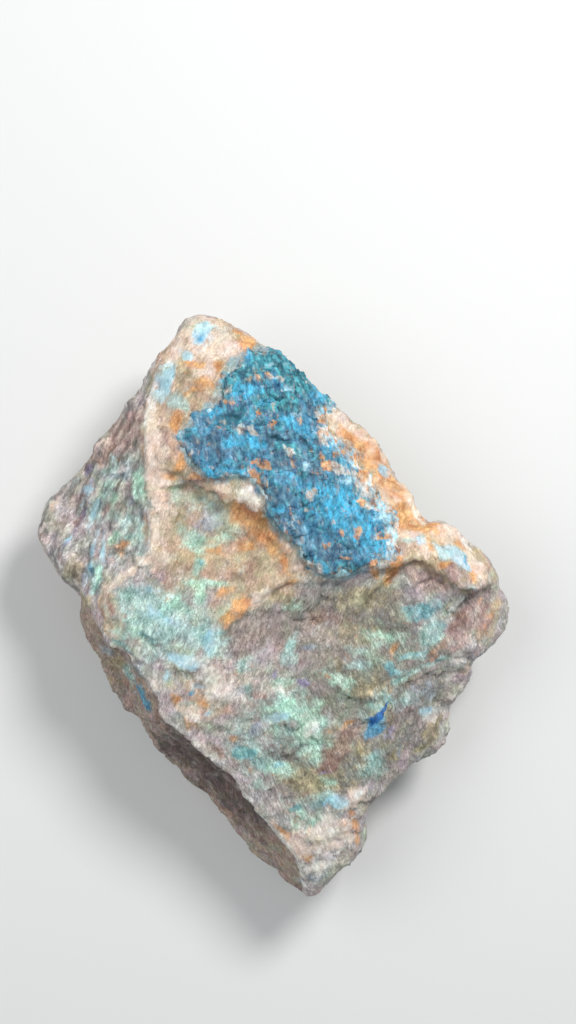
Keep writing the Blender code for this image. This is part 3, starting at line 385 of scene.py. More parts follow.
# Ledges in the upper face: the line, with its high side on the left, then in millimetres
# the height of the ledge and how far it reaches on either side.
LEDGES = [
    (RIDGE, 0.4, 2.4),
    (FLANK_EDGE, 0.35, 1.2),
    ([(-19.6, 20.1), (-16.6, 20.4), (-13.7, 20.7), (-11.7, 20.1), (-9.7, 19.2), (-8.3, 18),
      (-7.2, 16.9)], 0.75, 1.6),
    ([(-14.2, 24.6), (-12.3, 22.1), (-8.2, 21.8), (-4.7, 21.8), (-2.8, 20.6), (-1.5, 18.2),
      (-1.2, 16.1), (-0.1, 14), (2.1, 12.6), (3.9, 10.6), (4.6, 8.2), (6.8, 6.8), (9.3, 5.9)],
     0.55, 1.4),
    ([(-20.6, -9), (-17.1, -9.7), (-13.7, -9.9), (-10.7, -9.1), (-9.2, -6.9), (-8.6, -4.4),
      (-6.4, -2), (-3.1, 1), (-0.7, 3), (2.4, 4.4), (7.8, 4.8), (12.8, 5)], 0.45, 1.5),
    ([(13.3, -1.4), (15, 1), (16.5, 3.2), (18.9, 5.2), (20.5, 7), (22.9, 8.3),
      (24.9, 7.8), (26.9, 6.4), (28.9, 4.8), (30.9, 3.8), (33.9, 3.3), (36.9, 4.2)], 0.65, 1.6),
    ([(18.5, -12.6), (21.5, -10.9), (24.9, -9.4), (27.4, -8.5), (29.9, -7.6), (34.4, -6)],
     0.14, 0.9),
    ([(9.8, -12.2), (11.3, -13.6), (13, -14.5), (15, -15.1), (17.1, -15), (19.1, -14)],
     0.45, 1.2),
    ([(26.4, 9), (28.4, 8.1), (30.4, 7), (32.1, 5.6)], 0.35, 0.9),
]

# Grooves in the upper face: the line, its depth and its half width in millimetres.
CRACKS = [
    ([(-26.1, -5.8), (-24.1, -7.6), (-21.4, -9.4)], 0.9, 0.5),
    ([(2.6, -1.4), (4.8, -1.9), (8.2, -1.9)], 0.75, 0.35),
    ([(-5.5, -34.2), (-3.6, -36.2)], 0.8, 0.4),
    ([(-14.8, -22.3), (-12.2, -25), (-9.2, -28.2)], 0.5, 0.4),
    ([(-31.3, 3.1), (-31, 7.6), (-30.9, 12.1)], 0.35, 0.4),
    ([(8.8, -27.9), (11.8, -25.2), (14.3, -21.9)], 0.3, 0.5),
    ([(20.1, -19.9), (20.5, -16.4), (19.7, -13.9)], 0.35, 0.4),
]

# Half width of the step of a ledge, and the shares of a line's length over which the ends
# of a ledge and of a crack fade out.
LEDGE_STEP = 0.3
LEDGE_END = 0.08
CRACK_END = 0.2

# A spot in the upper face where the stone is broken smooth: its middle, its reach and how
# much of the relief is lost there.
CALM_MIDDLE = (-3.2, -20.6)
CALM_REACH = 3.0
CALM_LOSS = 0.7

# Roughness of the sides and the back beside that of the upper face, and the height of the
# finest relief.
SIDE_ROUGHNESS = 0.8
FINE_RELIEF = 0.045

# The ridge's painted highlight and the pale rim of the flank: half their width, how far the rim
# lies above the flank's edge, their cover, and the shares of their length where they begin and end.
CREST_WIDTH = 0.5
RIM_OFFSET = 0.4
RIDGE_HIGHLIGHT_COVER = 0.62
RIM_COVER = 0.6
CREST_START = (0.12, 0.2)
CREST_END = (0.95, 0.75)

# The left-hand facet fades in away from its borders.  The flank fades in below its edge and
# where it is steep enough, and its dark middle by shares of its length and by height.
FACET_BORDER = (0.0, 1.5)
FLANK_BORDER = (0.3, -0.6)
FLANK_SLOPES = (-0.5, 0.0)
FLANK_END = (0.99, 0.95)
DARK_START = (0.32, 0.5)
DARK_END = (0.86, 0.66)
DARK_HEIGHTS = (3.0, 15.0)

# The blue stain in the rock round the crust: its cover, how far it reaches in from outside,
# and how much of it is missing beside the crust's thin edge.
STAIN_COVER = 0.72
STAIN_BORDER = (-2.0, 0.6)
STAIN_LOSS = 0.75

# Size of the minerals' drifts over the sides and the back, where they begin and end, and
# how much of them is missing from the upper face and from the flank.
DRIFT_SIZE = 7.5
DRIFT_BORDER = (-0.1, 0.5)
DRIFT_LOSS_UP = 0.75
DRIFT_LOSS_FLANK = 0.7


# ---------------------------------------------------------------- numbers over points

def smooth_step(low, high, value):
    """Nought before one value and 1 past another, with a smooth change between them."""
    t = np.clip((value - low) / (high - low), 0.0, 1.0)
    return t * t * (3.0 - 2.0 * t)


def lumps(points, size, shift):
    """Soft noise from -1 to 1 over points in millimetres, with lumps of one size."""
    return np.array([noise.noise(spot) for spot in (points / size + shift).tolist()])


def chips(points, size, shift):
    """Broken facets: each point takes the height of the tilted plane of its own chip."""
    heights = np.empty(len(points))
    level = Vector((0.5, 0.5, 0.5))
    for index, spot in enumerate((points / size + shift).tolist()):
        centre = noise.voronoi(spot)[1][0]
        tilt = noise.cell_vector(centre * CHIP_SPREAD) - level
        heights[index] = (Vector(spot) - centre).dot(tilt)
    return heights


def along_grain(points, heading, rise, length, width):
    """Points squeezed so that noise over them runs in streaks along one direction."""
    turn = math.radians(heading)
    way = np.array([math.cos(turn), math.sin(turn), rise])
    way /= np.linalg.norm(way)
    along = points @ way
    rest = points - along[:, None] * way
    return rest / width + (along / length)[:, None] * way


def streaks(points, heading, length, width, shift):
    """Ridged noise in streaks, from about -1 to 1, highest along thin crests."""
    value = lumps(along_grain(points, heading, GRAIN_RISE, length, width), 1.0, shift)
    return 1.0 - CREST_STEEPNESS * np.abs(value)


def side_of_line(line, x, y):
    """Signed distance to a line of points, positive on its left, and the share along it."""
    nearest = np.full(x.shape, np.inf)
    side = np.zeros(x.shape)
    along = np.zeros(x.shape)
    start = 0.0
    for (x0, y0), (x1, y1) in zip(line, line[1:]):
        dx, dy = x1 - x0, y1 - y0
        length = math.hypot(dx, dy)
        t = np.clip(((x - x0) * dx + (y - y0) * dy) / length**2, 0.0, 1.0)
        away = np.hypot(x - x0 - t * dx, y - y0 - t * dy)
        nearer = away < nearest
        side = np.where(nearer, np.sign(dx * (y - y0) - dy * (x - x0)), side)
        along = np.where(nearer, start + t * length, along)
        nearest = np.minimum(away, nearest)
        start += length
    return nearest * side, along / start


def inside_outline(outline, x, y):
    """Signed distance to a closed outline, positive inside."""
    closed = outline + outline[:1]
    distance = np.abs(side_of_line(closed, x, y)[0])
    inside = np.zeros(x.shape, bool)
    for (x0, y0), (x1, y1) in zip(closed, closed[1:]):
        crosses = (y0 > y) != (y1 > y)
        if y1 != y0:
            inside ^= crosses & (x < (x1 - x0) * (y - y0) / (y1 - y0) + x0)
    return np.where(inside, distance, -distance)


def patch_strength(patches, x, y):
    """How far inside the nearest patch a point is.

    It is 1 up to a third of the way out, a half at the edge and nought well beyond it.
    """
    best = np.zeros(x.shape)
    for px, py, long_axis, short_axis, heading, *share in patches:
        turn = math.radians(heading)
        u = ((x - px) * math.cos(turn) + (y - py) * math.sin(turn)) / long_axis
        v = ((y - py) * math.cos(turn) - (x - px) * math.sin(turn)) / short_axis
        inside = np.clip(1.25 - 0.75 * np.hypot(u, v), 0.0, 1.0)
        best = np.maximum(best, inside * (share[0] if share else 1.0))
    return best


def wander(points, amount, size, shift):
    """X and Y of points pushed about by soft noise, so that patches get ragged outlines."""
    x, y = points[:, 0], points[:, 1]
    other_shift = shift + 50.0
    return x + amount * lumps(points, size, shift), y + amount * lumps(points, size, other_shift)


def fade_ends(share, reach):
    """1 along a line, falling to nought within a share of its length at either end."""
    return smooth_step(0.0, reach, share) * smooth_step(0.0, reach, 1.0 - share)


def hump(distance, width):
    """1 at nought, falling off both ways like a bell."""
    return np.exp(-((distance / width) ** 2))


def ledge(line, height, reach, x, y):
    """A sharp ledge along a line: up on its left, down on its right, fading both ways."""
    side, share = side_of_line(line, x, y)
    strength = height * fade_ends(share, LEDGE_END)
    return strength * np.tanh(side / LEDGE_STEP) * np.exp(-np.abs(side) / reach)


def grain_turn(points):
    """Nought on the left part of the face and 1 on the right, where the fibres turn."""
    return smooth_step(*TURN_BAND, 0.7 * (points[:, 0] - points[:, 1]))


def upper_face(points, normals, steepest, flattest):
    """1 on the upper face, fading low down and where it turns away between two slopes."""
    slope = smooth_step(steepest, flattest, normals[:, 2])
    return slope * smooth_step(*FACE_HEIGHTS, points[:, 2])


def thin_side(points):
    """1 towards the crust's right-hand edge, where it thins out and frays."""
    x, y = points[:, 0], points[:, 1]
    rightwards = 0.8 * x + 0.6 * (y - 20.0) + 2.0
    return smooth_step(6.0, 13.0, rightwards) * smooth_step(37.0, 32.0, y)


# ---------------------------------------------------------------- mesh helpers

def read_points(mesh):
    """The points of a mesh, in millimetres."""
    flat = np.empty(len(mesh.vertices) * 3)
    mesh.vertices.foreach_get("co", flat)
    return flat.reshape(-1, 3) / MM


def write_points(mesh, points):
    """Move the points of a mesh to places in millimetres."""
    mesh.vertices.foreach_set("co", (points * MM).ravel())
    mesh.update()


def read_normals(mesh):
    """The direction in which the surface looks at each point."""
    flat = np.empty(len(mesh.vertices) * 3)
    mesh.vertex_normals.foreach_get("vector", flat)
    return flat.reshape(-1, 3)


def read_corners(mesh):
    """The point that each corner of each face belongs to."""
    corners = np.empty(len(mesh.loops), dtype=np.int32)
    mesh.loops.foreach_get("vertex_index", corners)
    return corners


def set_map(mesh, places):
    """Give a mesh one map, into which its materials can be baked."""
    for layer in list(mesh.uv_layers):
        mesh.uv_layers.remove(layer)
    mesh.uv_layers.new(name=BAKE_MAP).data.foreach_set("uv", places.ravel())


def set_attribute(mesh, name, values):
    """Keep one number for each point of a mesh, for its material to read."""
    layer = mesh.attributes.get(name) or mesh.attributes.new(name, "FLOAT", "POINT")
    layer.data.foreach_set("value", np.asarray(values, dtype=np.float32))


def get_attribute(mesh, name):
    """The numbers that a mesh keeps for its points under one name."""
    values = np.empty(len(mesh.vertices), dtype=np.float32)
    mesh.attributes[name].data.foreach_get("value", values)
    return values


def pick_only(piece):
    """Select a piece and nothing else."""
    bpy.ops.object.select_all(action="DESELECT")
    piece.select_set(True)
    bpy.context.view_layer.objects.active = piece


def apply_modifier(piece, kind, **settings):
    """Put a modifier on a piece and make its result the mesh."""
    pick_only(piece)
    modifier = piece.modifiers.new(kind.title(), kind)
    for name, value in settings.items():
        setattr(modifier, name, value)
    bpy.ops.object.modifier_apply(modifier=modifier.name)


def edit_mesh(piece, *steps):
    """Run mesh operators on the whole of a piece in edit mode."""
    pick_only(piece)
    bpy.ops.object.mode_set(mode="EDIT")
    bpy.ops.mesh.select_all(action="SELECT")
    for operator, settings in steps:
        operator(**settings)
    bpy.ops.object.mode_set(mode="OBJECT")


def finish_piece(piece, material):
    """Give a piece its material, smooth shading, and the body it belongs to."""
    piece.data.materials.clear()
    piece.data.materials.append(material)
    pick_only(piece)
    bpy.ops.object.shade_smooth()
    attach(piece, BODY)


# ---------------------------------------------------------------- materials

def paint(red, green, blue):
    """A display colour from 0 to 255 as the linear colour that shaders take."""
    def linear(value):
        share = value / 255.0
        return share / 12.92 if share <= 0.04045 else ((share + 0.055) / 1.055) ** 2.4
    return (linear(red), linear(green), linear(blue))


# The range that soft noise seldom leaves, and how soon a hairline fades out from its middle.
USUAL_NOISE = (0.3, 0.7)
HAIRLINE_EDGE = 0.035


class Socket:
    """A shader output that works in sums, so that a mask reads as arithmetic."""

    def __init__(self, graph, output):
        self.graph = graph
        self.output = output

    def __add__(self, other):
        return self.graph.maths("ADD", self, other)

    def __sub__(self, other):
        return self.graph.maths("SUBTRACT", self, other)

    def __rsub__(self, other):
        return self.graph.maths("SUBTRACT", other, self)

    def __mul__(self, other):
        return self.graph.maths("MULTIPLY", self, other)

    __radd__ = __add__
    __rmul__ = __mul__

    def sway(self, reach):
        """This noise moved to swing about nought, by half of the reach to either side."""
        return (self - 0.5) * reach


class Graph:
    """The node tree of one material."""

    def __init__(self, name):
        self.material = bpy.data.materials.new(name)
        self.material.use_nodes = True
        self.tree = self.material.node_tree
        self.shader = self.tree.nodes["Principled BSDF"]

    def link(self, value, socket):
        """Join an output to an input, or set the input to a number or a colour."""
        if isinstance(value, Socket):
            self.tree.links.new(value.output, socket)
        elif socket.type == "RGBA":
            socket.default_value = (*value, 1.0)
        else:
            socket.default_value = value

    def node(self, kind, inputs=(), output=0, **settings):
        """Add a node with its settings and the values of its inputs; gives one output."""
        node = self.tree.nodes.new(kind)
        for name, value in settings.items():
            setattr(node, name, value)
        for name, value in dict(inputs).items():
            self.link(value, node.inputs[name])
        return Socket(self, node.outputs[output])

    def maths(self, operation, first, second=0.0):
        return self.node("ShaderNodeMath", {0: first, 1: second}, operation=operation)

    def vector(self, operation, first, second):
        return self.node("ShaderNodeVectorMath", {0: first, 1: second}, operation=operation)

    def mix(self, share, first, second, blend="MIX"):
        """Two colours mixed, from all of the first at a share of 0."""
        return self.node(
            "ShaderNodeMix", {0: share, 6: first, 7: second}, output=2, data_type="RGBA",
            blend_type=blend,
        )

    def between(self, value, low, high, to_low=0.0, to_high=1.0):
        """Smoothly from one number to another as the value crosses a range."""
        return self.node(
            "ShaderNodeMapRange",
            {0: value, 1: low, 2: high, 3: to_low, 4: to_high},
            interpolation_type="SMOOTHSTEP",
        )

    def swing(self, value, least, most):
        """Between two lights, as a noise goes from its usual lows to its usual highs."""
        return self.between(value, *USUAL_NOISE, least, most)

    def attribute(self, name):
        """A number that the mesh keeps for each point."""
        return self.node("ShaderNodeAttribute", output="Fac", attribute_name=name)

    def noise(self, place, scale, detail=2.0, rough=0.5, output="Fac"):
        return self.node(
            "ShaderNodeTexNoise",
            {"Vector": place, "Scale": scale, "Detail": detail, "Roughness": rough},
            output=output,
        )

    def clouds(self, place, scale, detail=2.0, rough=0.5):
        """Three noises of one kind that have nothing to do with one another."""
        node = self.tree.nodes.new("ShaderNodeSeparateXYZ")
        self.link(self.noise(place, scale, detail, rough, "Color"), node.inputs[0])
        return [Socket(self, output) for output in node.outputs]

    def millimetres(self):
        """Place on the piece in millimetres."""
        place = self.node("ShaderNodeTexCoord", output="Object")
        return self.vector("MULTIPLY", place, (1000.0, 1000.0, 1000.0))

    def grain(self, place, heading, length, width):
        """Place squeezed along one heading, for streaky noise."""
        return self.node(
            "ShaderNodeMapping",
            {
                "Vector": place,
                "Rotation": (0.0, GRAIN_DIP, math.radians(heading)),
                "Scale": (length, width, width),
            },
            vector_type="TEXTURE",
        )

    def streaks(self, place, heading, length, width, detail=2.0, rough=0.5, scale=1.0):
        """Noise in streaks of one length and width, in millimetres, along a heading."""
        return self.noise(self.grain(place, heading, length, width), scale, detail, rough)

    def hairlines(self, place, heading, length, width):
        """Fine fibrous lines: 0 on a line and 1 between them."""
        cloud = self.streaks(place, heading, length, width, rough=0.6)
        return self.between(self.maths("ABSOLUTE", cloud - 0.5), 0.0, HAIRLINE_EDGE)

    def mottle(self, colour, place, scale, strength):
        """Shift the hue of a colour about in soft flecks."""
        cloud = self.noise(place, scale, 1.0, 0.5, "Color")
        cloud = self.vector("SUBTRACT", cloud, (0.5, 0.5, 0.5))
        cloud = self.vector("MULTIPLY", cloud, (strength, strength, strength))
        return self.mix(1.0, colour, self.vector("ADD", cloud, (1.0, 1.0, 1.0)), "MULTIPLY")

    def lighten(self, colour, light):
        """A colour made lighter or darker, and by the tone and painted shading that each point
        holds.
        """
        light = light * self.attribute("tone_and_painted_shading")
        grey = self.node("ShaderNodeCombineXYZ", {0: light, 1: light, 2: light})
        return self.mix(1.0, colour, grey, "MULTIPLY")

    def surface(self, colour, roughness, height, bump, specular):
        """The finished material, with its relief given as a strength and a distance."""
        self.link(colour, self.shader.inputs["Base Color"])
        self.link(roughness, self.shader.inputs["Roughness"])
        strength, distance = bump
        relief = {"Strength": strength, "Distance": distance, "Height": height}
        self.link(self.node("ShaderNodeBump", relief), self.shader.inputs["Normal"])
        self.shader.inputs["Specular IOR Level"].default_value = specular
        return self.material


# From the first laid down to the last, which covers the others: for each mineral how much
# it covers, how soft its edge is, what it is, and its light and its dark tone.
MINERALS = {
    "mauve": (0.85, 0.3, "mauve stone", (184, 170, 163), (150, 134, 129)),
    "pink": (0.85, 0.3, "pinkish stone", (203, 180, 171), (172, 141, 135)),
    "olive": (0.8, 0.28, "olive stone", (192, 178, 144), (140, 131, 104)),
    "umber": (0.8, 0.28, "reddish brown stone", (178, 150, 134), (138, 108, 98)),
    "turquoise": (0.86, 0.34, "turquoise film", (196, 222, 215), (142, 184, 178)),
    "mint": (0.84, 0.34, "mint green film", (196, 230, 212), (162, 206, 184)),
    "slate": (0.85, 0.24, "bluish grey crystals", (190, 195, 200), (138, 147, 158)),
    "cream": (0.92, 0.26, "cream mineral", (234, 219, 204), (226, 201, 180)),
    "teal": (0.85, 0.26, "teal blotches", (142, 190, 194), (84, 146, 154)),
    "rust": (0.82, 0.32, "rusty stain", (236, 180, 118), (196, 124, 66)),
    "sky": (0.82, 0.28, "sky blue film", (200, 228, 236), (156, 206, 224)),
    "stain": (0.7, 0.25, "blue stain round the crust", (140, 186, 196), (92, 142, 160)),
    "azure": (0.85, 0.24, "small blue spots", (112, 182, 208), (62, 142, 182)),
    "violet": (0.7, 0.28, "violet spots", (160, 154, 188), (138, 124, 164)),
    "indigo": (0.9, 0.2, "deepest blue spots", (44, 116, 184), (20, 78, 150)),
    "white": (0.85, 0.28, "white crystals", (246, 242, 234), (228, 218, 206)),
}

# Minerals that hide the fibres, colours of the crust, and masks that are no mineral.
CALM_MINERALS = ("cream", "white", "sky")
CRUST_TINTS = ("azure", "teal", "deep", "hollow", "sky", "white", "rust", "frayed")
PLACE_MASKS = ("warm", "shade", "green", "flank", "flank_dark", "turn", "facet")


def stone_material(look):
    """Mottled matrix with fibrous grain, and each mineral where its mask says."""
    g = Graph("mottled_matrix_stone")
    place = g.millimetres()
    wide_a, wide_b = g.clouds(place, scale=0.16, detail=3.0, rough=0.55)[:2]
    soft_a, soft_b, soft_c = g.clouds(place, scale=0.45)
    fine_a, fine_b = g.clouds(place, scale=1.5)[:2]

    def fibres(length, width):
        """Streaky noise along the grain, which turns from the left part to the right."""
        left = g.streaks(place, LEFT_GRAIN, length, width, detail=3.0, rough=0.55)
        right = g.streaks(place, RIGHT_GRAIN, length, width, detail=3.0, rough=0.55)
        sides = {0: g.attribute("turn"), 2: left, 3: right}
        return g.node("ShaderNodeMix", sides, data_type="FLOAT")

    stroke = fibres(length=2.4, width=0.75)
    thread = fibres(length=1.1, width=0.28)

    # The plain matrix: cool grey to warm beige, darker where it is shaded, green in drifts.
    warm = g.between(g.attribute("warm") + wide_a.sway(0.6) + soft_a.sway(0.7), 0.25, 0.6)
    colour = g.mix(warm, look.grey_stone, look.beige_stone)
    green = wide_b + soft_b.sway(0.4) + (g.attribute("green") - 0.3) * 0.25
    colour = g.mix(g.between(green, 0.46, 0.68) * 0.6, colour, look.green_stone)
    shade = g.between(g.attribute("shade") + soft_c.sway(0.6), 0.2, 0.75)
    colour = g.mix(shade * 0.85, colour, look.shaded_stone)
    colour = g.mottle(colour, place, scale=0.3, strength=0.35)

    # The steep flank: tan to dark brown, with drifts of grey.
    flank = g.between(g.attribute("flank") + soft_b.sway(0.5), 0.3, 0.6)
    dark = g.between(g.attribute("flank_dark") + soft_a.sway(1.1) + wide_a.sway(0.8), 0.2, 0.9)
    brown = g.mix(dark, look.tan_flank, look.dark_flank)
    brown = g.mottle(brown, place, scale=0.5, strength=0.45)
    brown = g.mix(g.between(soft_c, 0.52, 0.7) * 0.4, brown, look.grey_stone)
    colour = g.mix(flank * 0.92, colour, brown)

    # The minerals, each with an edge that its own noise makes ragged.
    rags = []
    for index in range(math.ceil(len(MINERALS) / 3)):
        moved = g.vector("ADD", place, (31.0 * index, 7.0, 3.0))
        rags += g.clouds(moved, scale=0.55, rough=0.45)
    light_share = g.between(soft_c + stroke.sway(0.3), 0.28, 0.72)
    calm = warm * 0.5
    for rag, (mineral, (cover, edge, *_)) in zip(rags, MINERALS.items()):
        mask = g.attribute(mineral) + rag.sway(1.1) + stroke.sway(0.25) + thread.sway(0.25)
        share = g.between(mask, 0.5 - edge, 0.5 + edge)
        deep, pale = getattr(look, f"deep_{mineral}"), getattr(look, f"pale_{mineral}")
        colour = g.mix(share * cover, colour, g.mix(light_share, deep, pale))
        if mineral in CALM_MINERALS:
            calm = g.maths("MAXIMUM", calm, share)
    colour = g.mottle(colour, place, scale=0.4, strength=0.2)

    # Fibrous strokes and pale flecks change how light the stone is, not its hue; small pits are
    # painted shade.
    hair = g.hairlines(place, 66.0, 1.7, 0.6) * g.hairlines(place, 112.0, 1.9, 0.75)
    bright = g.hairlines(place, 84.0, 2.0, 0.7) * g.hairlines(place, 126.0, 1.7, 0.8)
    fleck = g.between(g.streaks(place, 75.0, 1.0, 0.36, scale=1.2), 0.58, 0.70)
    painted_pit_shade = g.between(g.streaks(place, 60.0, 1.0, 0.36, scale=1.1), 0.28, 0.38, 1.0, 0.0)
    patchy = g.between(fibres(length=4.0, width=1.3), 0.36, 0.64, -0.38, 0.26)
    light = g.swing(stroke, 0.82, 1.15) * g.swing(thread, 0.82, 1.19)
    light = light * (1.0 + patchy * g.attribute("facet"))
    light = light * g.swing(soft_b, 0.88, 1.1) * g.swing(fine_a, 0.94, 1.06)
    light = light * g.between(hair, 0.0, 1.0, 0.8, 1.02) * g.between(bright, 0.0, 1.0, 1.16, 1.0)
    light = light * (1.0 + fleck * 0.12) * (1.0 - painted_pit_shade * 0.26)
    colour = g.lighten(colour, light + (1.0 - light) * calm * 0.5)
    speck_place = g.vector("ADD", place, (5.0, 50.0, 9.0))
    speck = g.between(g.noise(speck_place, 0.6), 0.68, 0.78)
    colour = g.mix(speck * 0.4, colour, look.deep_rust)

    roughness = g.between(fleck + stroke * 0.5, 0.2, 1.2, 0.92, 0.62)
    height = (stroke * 0.9 + thread * 0.45 + hair * 0.3) * (1.0 - calm * 0.35) + fine_b * 0.2
    return g.surface(colour, roughness, height, bump=(0.9, 0.00024), specular=0.3)


def crust_material(look):
    """Blue crystalline crust: steel blue, azure and teal, with rusty and pale spots."""
    g = Graph("linarite_blue_crust")
    place = g.millimetres()

    def drifts(shift, length, width):
        """Three soft noises with lumps drawn out along the fibres of the crust."""
        moved = g.vector("ADD", place, (shift, 90.0, 3.0))
        return g.clouds(g.grain(moved, CRUST_GRAIN, length, width), scale=1.0)

    rags = [*drifts(0.0, 2.0, 1.2), *drifts(17.0, 2.0, 1.2), *drifts(34.0, 2.0, 1.2)]
    soft_a, soft_b, soft_c = drifts(51.0, 3.0, 2.0)
    spot_a, spot_b, spot_c = drifts(68.0, 1.6, 0.8)
    fringe_a, fringe_b, fringe_c = drifts(85.0, 1.2, 0.6)
    fine_a, _, fine_c = g.clouds(place, scale=2.2)
    grain = g.streaks(place, 98.0, 1.7, 0.5, detail=3.0, rough=0.55)
    blades = g.streaks(place, 124.0, 1.3, 0.4)
    hair = g.hairlines(place, 100.0, 1.8, 0.7)

    def stain(colour, name, rag, tone, cover, low=0.25, high=0.72):
        """Lay a tone over the colour where its patches are, with a ragged edge."""
        mask = g.attribute(name) + rag.sway(1.4) + grain.sway(0.35)
        return g.mix(g.between(mask, low, high) * cover, colour, tone)

    # Soft drifts of teal, azure and dull blue cross one another all over the crust.
    streak = g.between(spot_c + grain.sway(0.25), 0.33, 0.67)
    bright_streak = g.between(spot_c + grain.sway(0.2), 0.25, 0.6)
    azure = g.mix(bright_streak, look.steel_blue, look.azure_blue)
    teal = g.mix(streak, look.dark_teal_and_painted_shade, look.teal_crust)
    dull = g.mix(streak, look.dull_blue, look.pale_dull)
    white = g.mix(streak, look.deep_cream, look.pale_crust)
    sky = g.mix(streak, look.deep_sky, look.pale_sky)
    rusty = g.mix(g.between(spot_b, 0.35, 0.65), look.deep_rust, look.pale_rust)
    colour = g.mix(streak, look.deep_blue, look.steel_blue)
    colour = g.mix(g.between(soft_a, 0.44, 0.62) * 0.6, colour, teal)
    colour = g.mix(g.between(soft_b, 0.5, 0.66) * 0.3, colour, azure)
    colour = g.mix(g.between(soft_c, 0.48, 0.66) * 0.7, colour, dull)
    colour = stain(colour, "deep", rags[0], dull, 0.85)
    colour = stain(colour, "teal", rags[1], teal, 0.85)
    colour = stain(colour, "azure", rags[2], azure, 0.92)
    colour = g.mix(g.between(spot_a, 0.54, 0.68) * 0.45, colour, teal)
    colour = g.mix(g.between(spot_b, 0.55, 0.7) * 0.5, colour, look.rosy_crust)

    # Pale and rusty spots, and a frayed border where the crust lets the rock through.
    colour = stain(colour, "sky", rags[3], sky, 0.7)
    colour = stain(colour, "white", rags[4], white, 0.7)
    frayed = g.mix(g.between(rags[7], 0.42, 0.58), white, sky)
    frayed = g.mix(g.between(rags[8], 0.48, 0.62), frayed, rusty)
    colour = stain(colour, "frayed", rags[6] + fringe_c.sway(0.5), frayed, 0.88, 0.12, 0.88)
    colour = stain(colour, "rust", rags[5] + fringe_a.sway(0.8), rusty, 0.76, 0.28, 0.85)
    # Painted shade: the crust's hollows are painted dark teal.
    colour = stain(colour, "hollow", rags[6], look.dark_teal_and_painted_shade, 0.75)
    flecks = g.streaks(place, 108.0, 1.5, 0.9, detail=1.0, rough=0.4)
    fleck_tone = g.mix(g.between(fringe_b, 0.42, 0.58), rusty, white)
    colour = g.mix(g.between(flecks, 0.66, 0.8) * 0.5, colour, fleck_tone)

    # Grain and blades change how light the crust is, not its hue; small facets get a painted glint,
    # and are glossier too.
    painted_glint_and_gloss = g.between(g.streaks(place, 116.0, 1.2, 0.4), 0.58, 0.7)
    light = g.swing(grain, 0.88, 1.11) * g.swing(blades, 0.93, 1.07)
    light = light * g.swing(fine_c, 0.94, 1.05)
    light = light * g.swing(spot_a, 0.84, 1.14) * g.between(hair, 0.0, 1.0, 0.86, 1.02)
    light = light * g.between(soft_c, 0.32, 0.68, 1.17, 0.78) * g.swing(soft_a, 1.08, 0.9)
    colour = g.lighten(colour, light * (1.0 + painted_glint_and_gloss * 0.2))

    roughness = g.between(painted_glint_and_gloss + blades * 0.6, 0.2, 1.2, 0.7, 0.38)
    height = grain * 0.9 + blades * 0.5 + fine_a * 0.3 + hair * 0.3
    return g.surface(colour, roughness, height, bump=(0.6, 0.00014), specular=0.35)


def pale_floor_material():
    """A plain pale tone with no shine."""
    g = Graph("pale_floor")
    g.link(paint(*FLOOR_TONE), g.shader.inputs["Base Color"])
    g.link(FLOOR_ROUGHNESS, g.shader.inputs["Roughness"])
    return g.material


# ---------------------------------------------------------------- the rock

def unwrap_as_box(mesh, margin=2.0):
    """Lay the faces out in six flat views, by the way each looks, for baked maps."""
    points = read_points(mesh)
    corners = read_corners(mesh)
    owner = np.repeat(
        np.arange(len(mesh.polygons)), [face.loop_total for face in mesh.polygons]
    )
    looks = np.array([face.normal for face in mesh.polygons])
    axis = np.abs(looks).argmax(axis=1)
    positive = looks[np.arange(len(looks)), axis] > 0
    low = points.min(axis=0)
    wide, deep, tall = points.max(axis=0) - low
    second = wide + margin
    rows = (deep + margin, deep + tall + 2 * margin)
    # Which way a face looks decides its place on the sheet and what runs across it.
    sheet = {
        (2, True): (0, 1, 0.0, 0.0), (2, False): (0, 1, second, 0.0),
        (0, True): (1, 2, 0.0, rows[0]), (0, False): (1, 2, 0.0, rows[1]),
        (1, True): (0, 2, deep + margin, rows[0]), (1, False): (0, 2, deep + margin, rows[1]),
    }
    side = max(second + wide, deep + margin + wide, rows[1] + tall) + margin
    places = np.zeros((len(corners), 2))
    spots = points[corners] - low
    for (way, up), (across, along, left, base) in sheet.items():
        mine = (axis[owner] == way) & (positive[owner] == up)
        places[mine, 0] = (spots[mine, across] + left + margin / 2) / side
        places[mine, 1] = (spots[mine, along] + base + margin / 2) / side
    set_map(mesh, places)


def rock_push(points, normals, look):
    """How far each point of the rock stands out, in millimetres, and its fine part."""
    z = points[:, 2]
    up = upper_face(points, normals, steepest=0.0, flattest=0.4)
    rough = np.where(up > 0.5, 1.0, SIDE_ROUGHNESS)
    broken = chips(points, size=4.6, shift=3.1) + 0.7 * chips(points, size=2.2, shift=8.3)
    rounded = lumps(points, size=2.6, shift=1.7) + 0.6 * lumps(points, size=1.2, shift=5.9)
    push = look.chip_depth / MM * rough * broken + look.lump_depth / MM * rounded
    calm_x, calm_y = points[:, 0] - CALM_MIDDLE[0], points[:, 1] - CALM_MIDDLE[1]
    push *= 1.0 - CALM_LOSS * np.exp(-(calm_x**2 + calm_y**2) / CALM_REACH**2)
    left = streaks(points, LEFT_GRAIN, length=3.0, width=0.95, shift=2.2)
    right = streaks(points, RIGHT_GRAIN, length=2.8, width=0.95, shift=4.6)
    turn = grain_turn(points)
    fine = look.streak_depth / MM * (left * (1.0 - turn) + right * turn)
    fine += FINE_RELIEF * lumps(points, size=0.9, shift=9.4)
    x, y = wander(points, amount=0.35, size=1.6, shift=61.0)
    for line, height, reach in LEDGES:
        push += up * ledge(line, height, reach, x, y)
    for line, deep, width in CRACKS:
        side, share = side_of_line(line, x, y)
        groove = deep * fade_ends(share, CRACK_END) * hump(side, width)
        push -= groove * smooth_step(*CRACK_HEIGHTS, z)
    foot = smooth_step(*FOOT_HEIGHTS, z)
    return push * foot, fine * foot


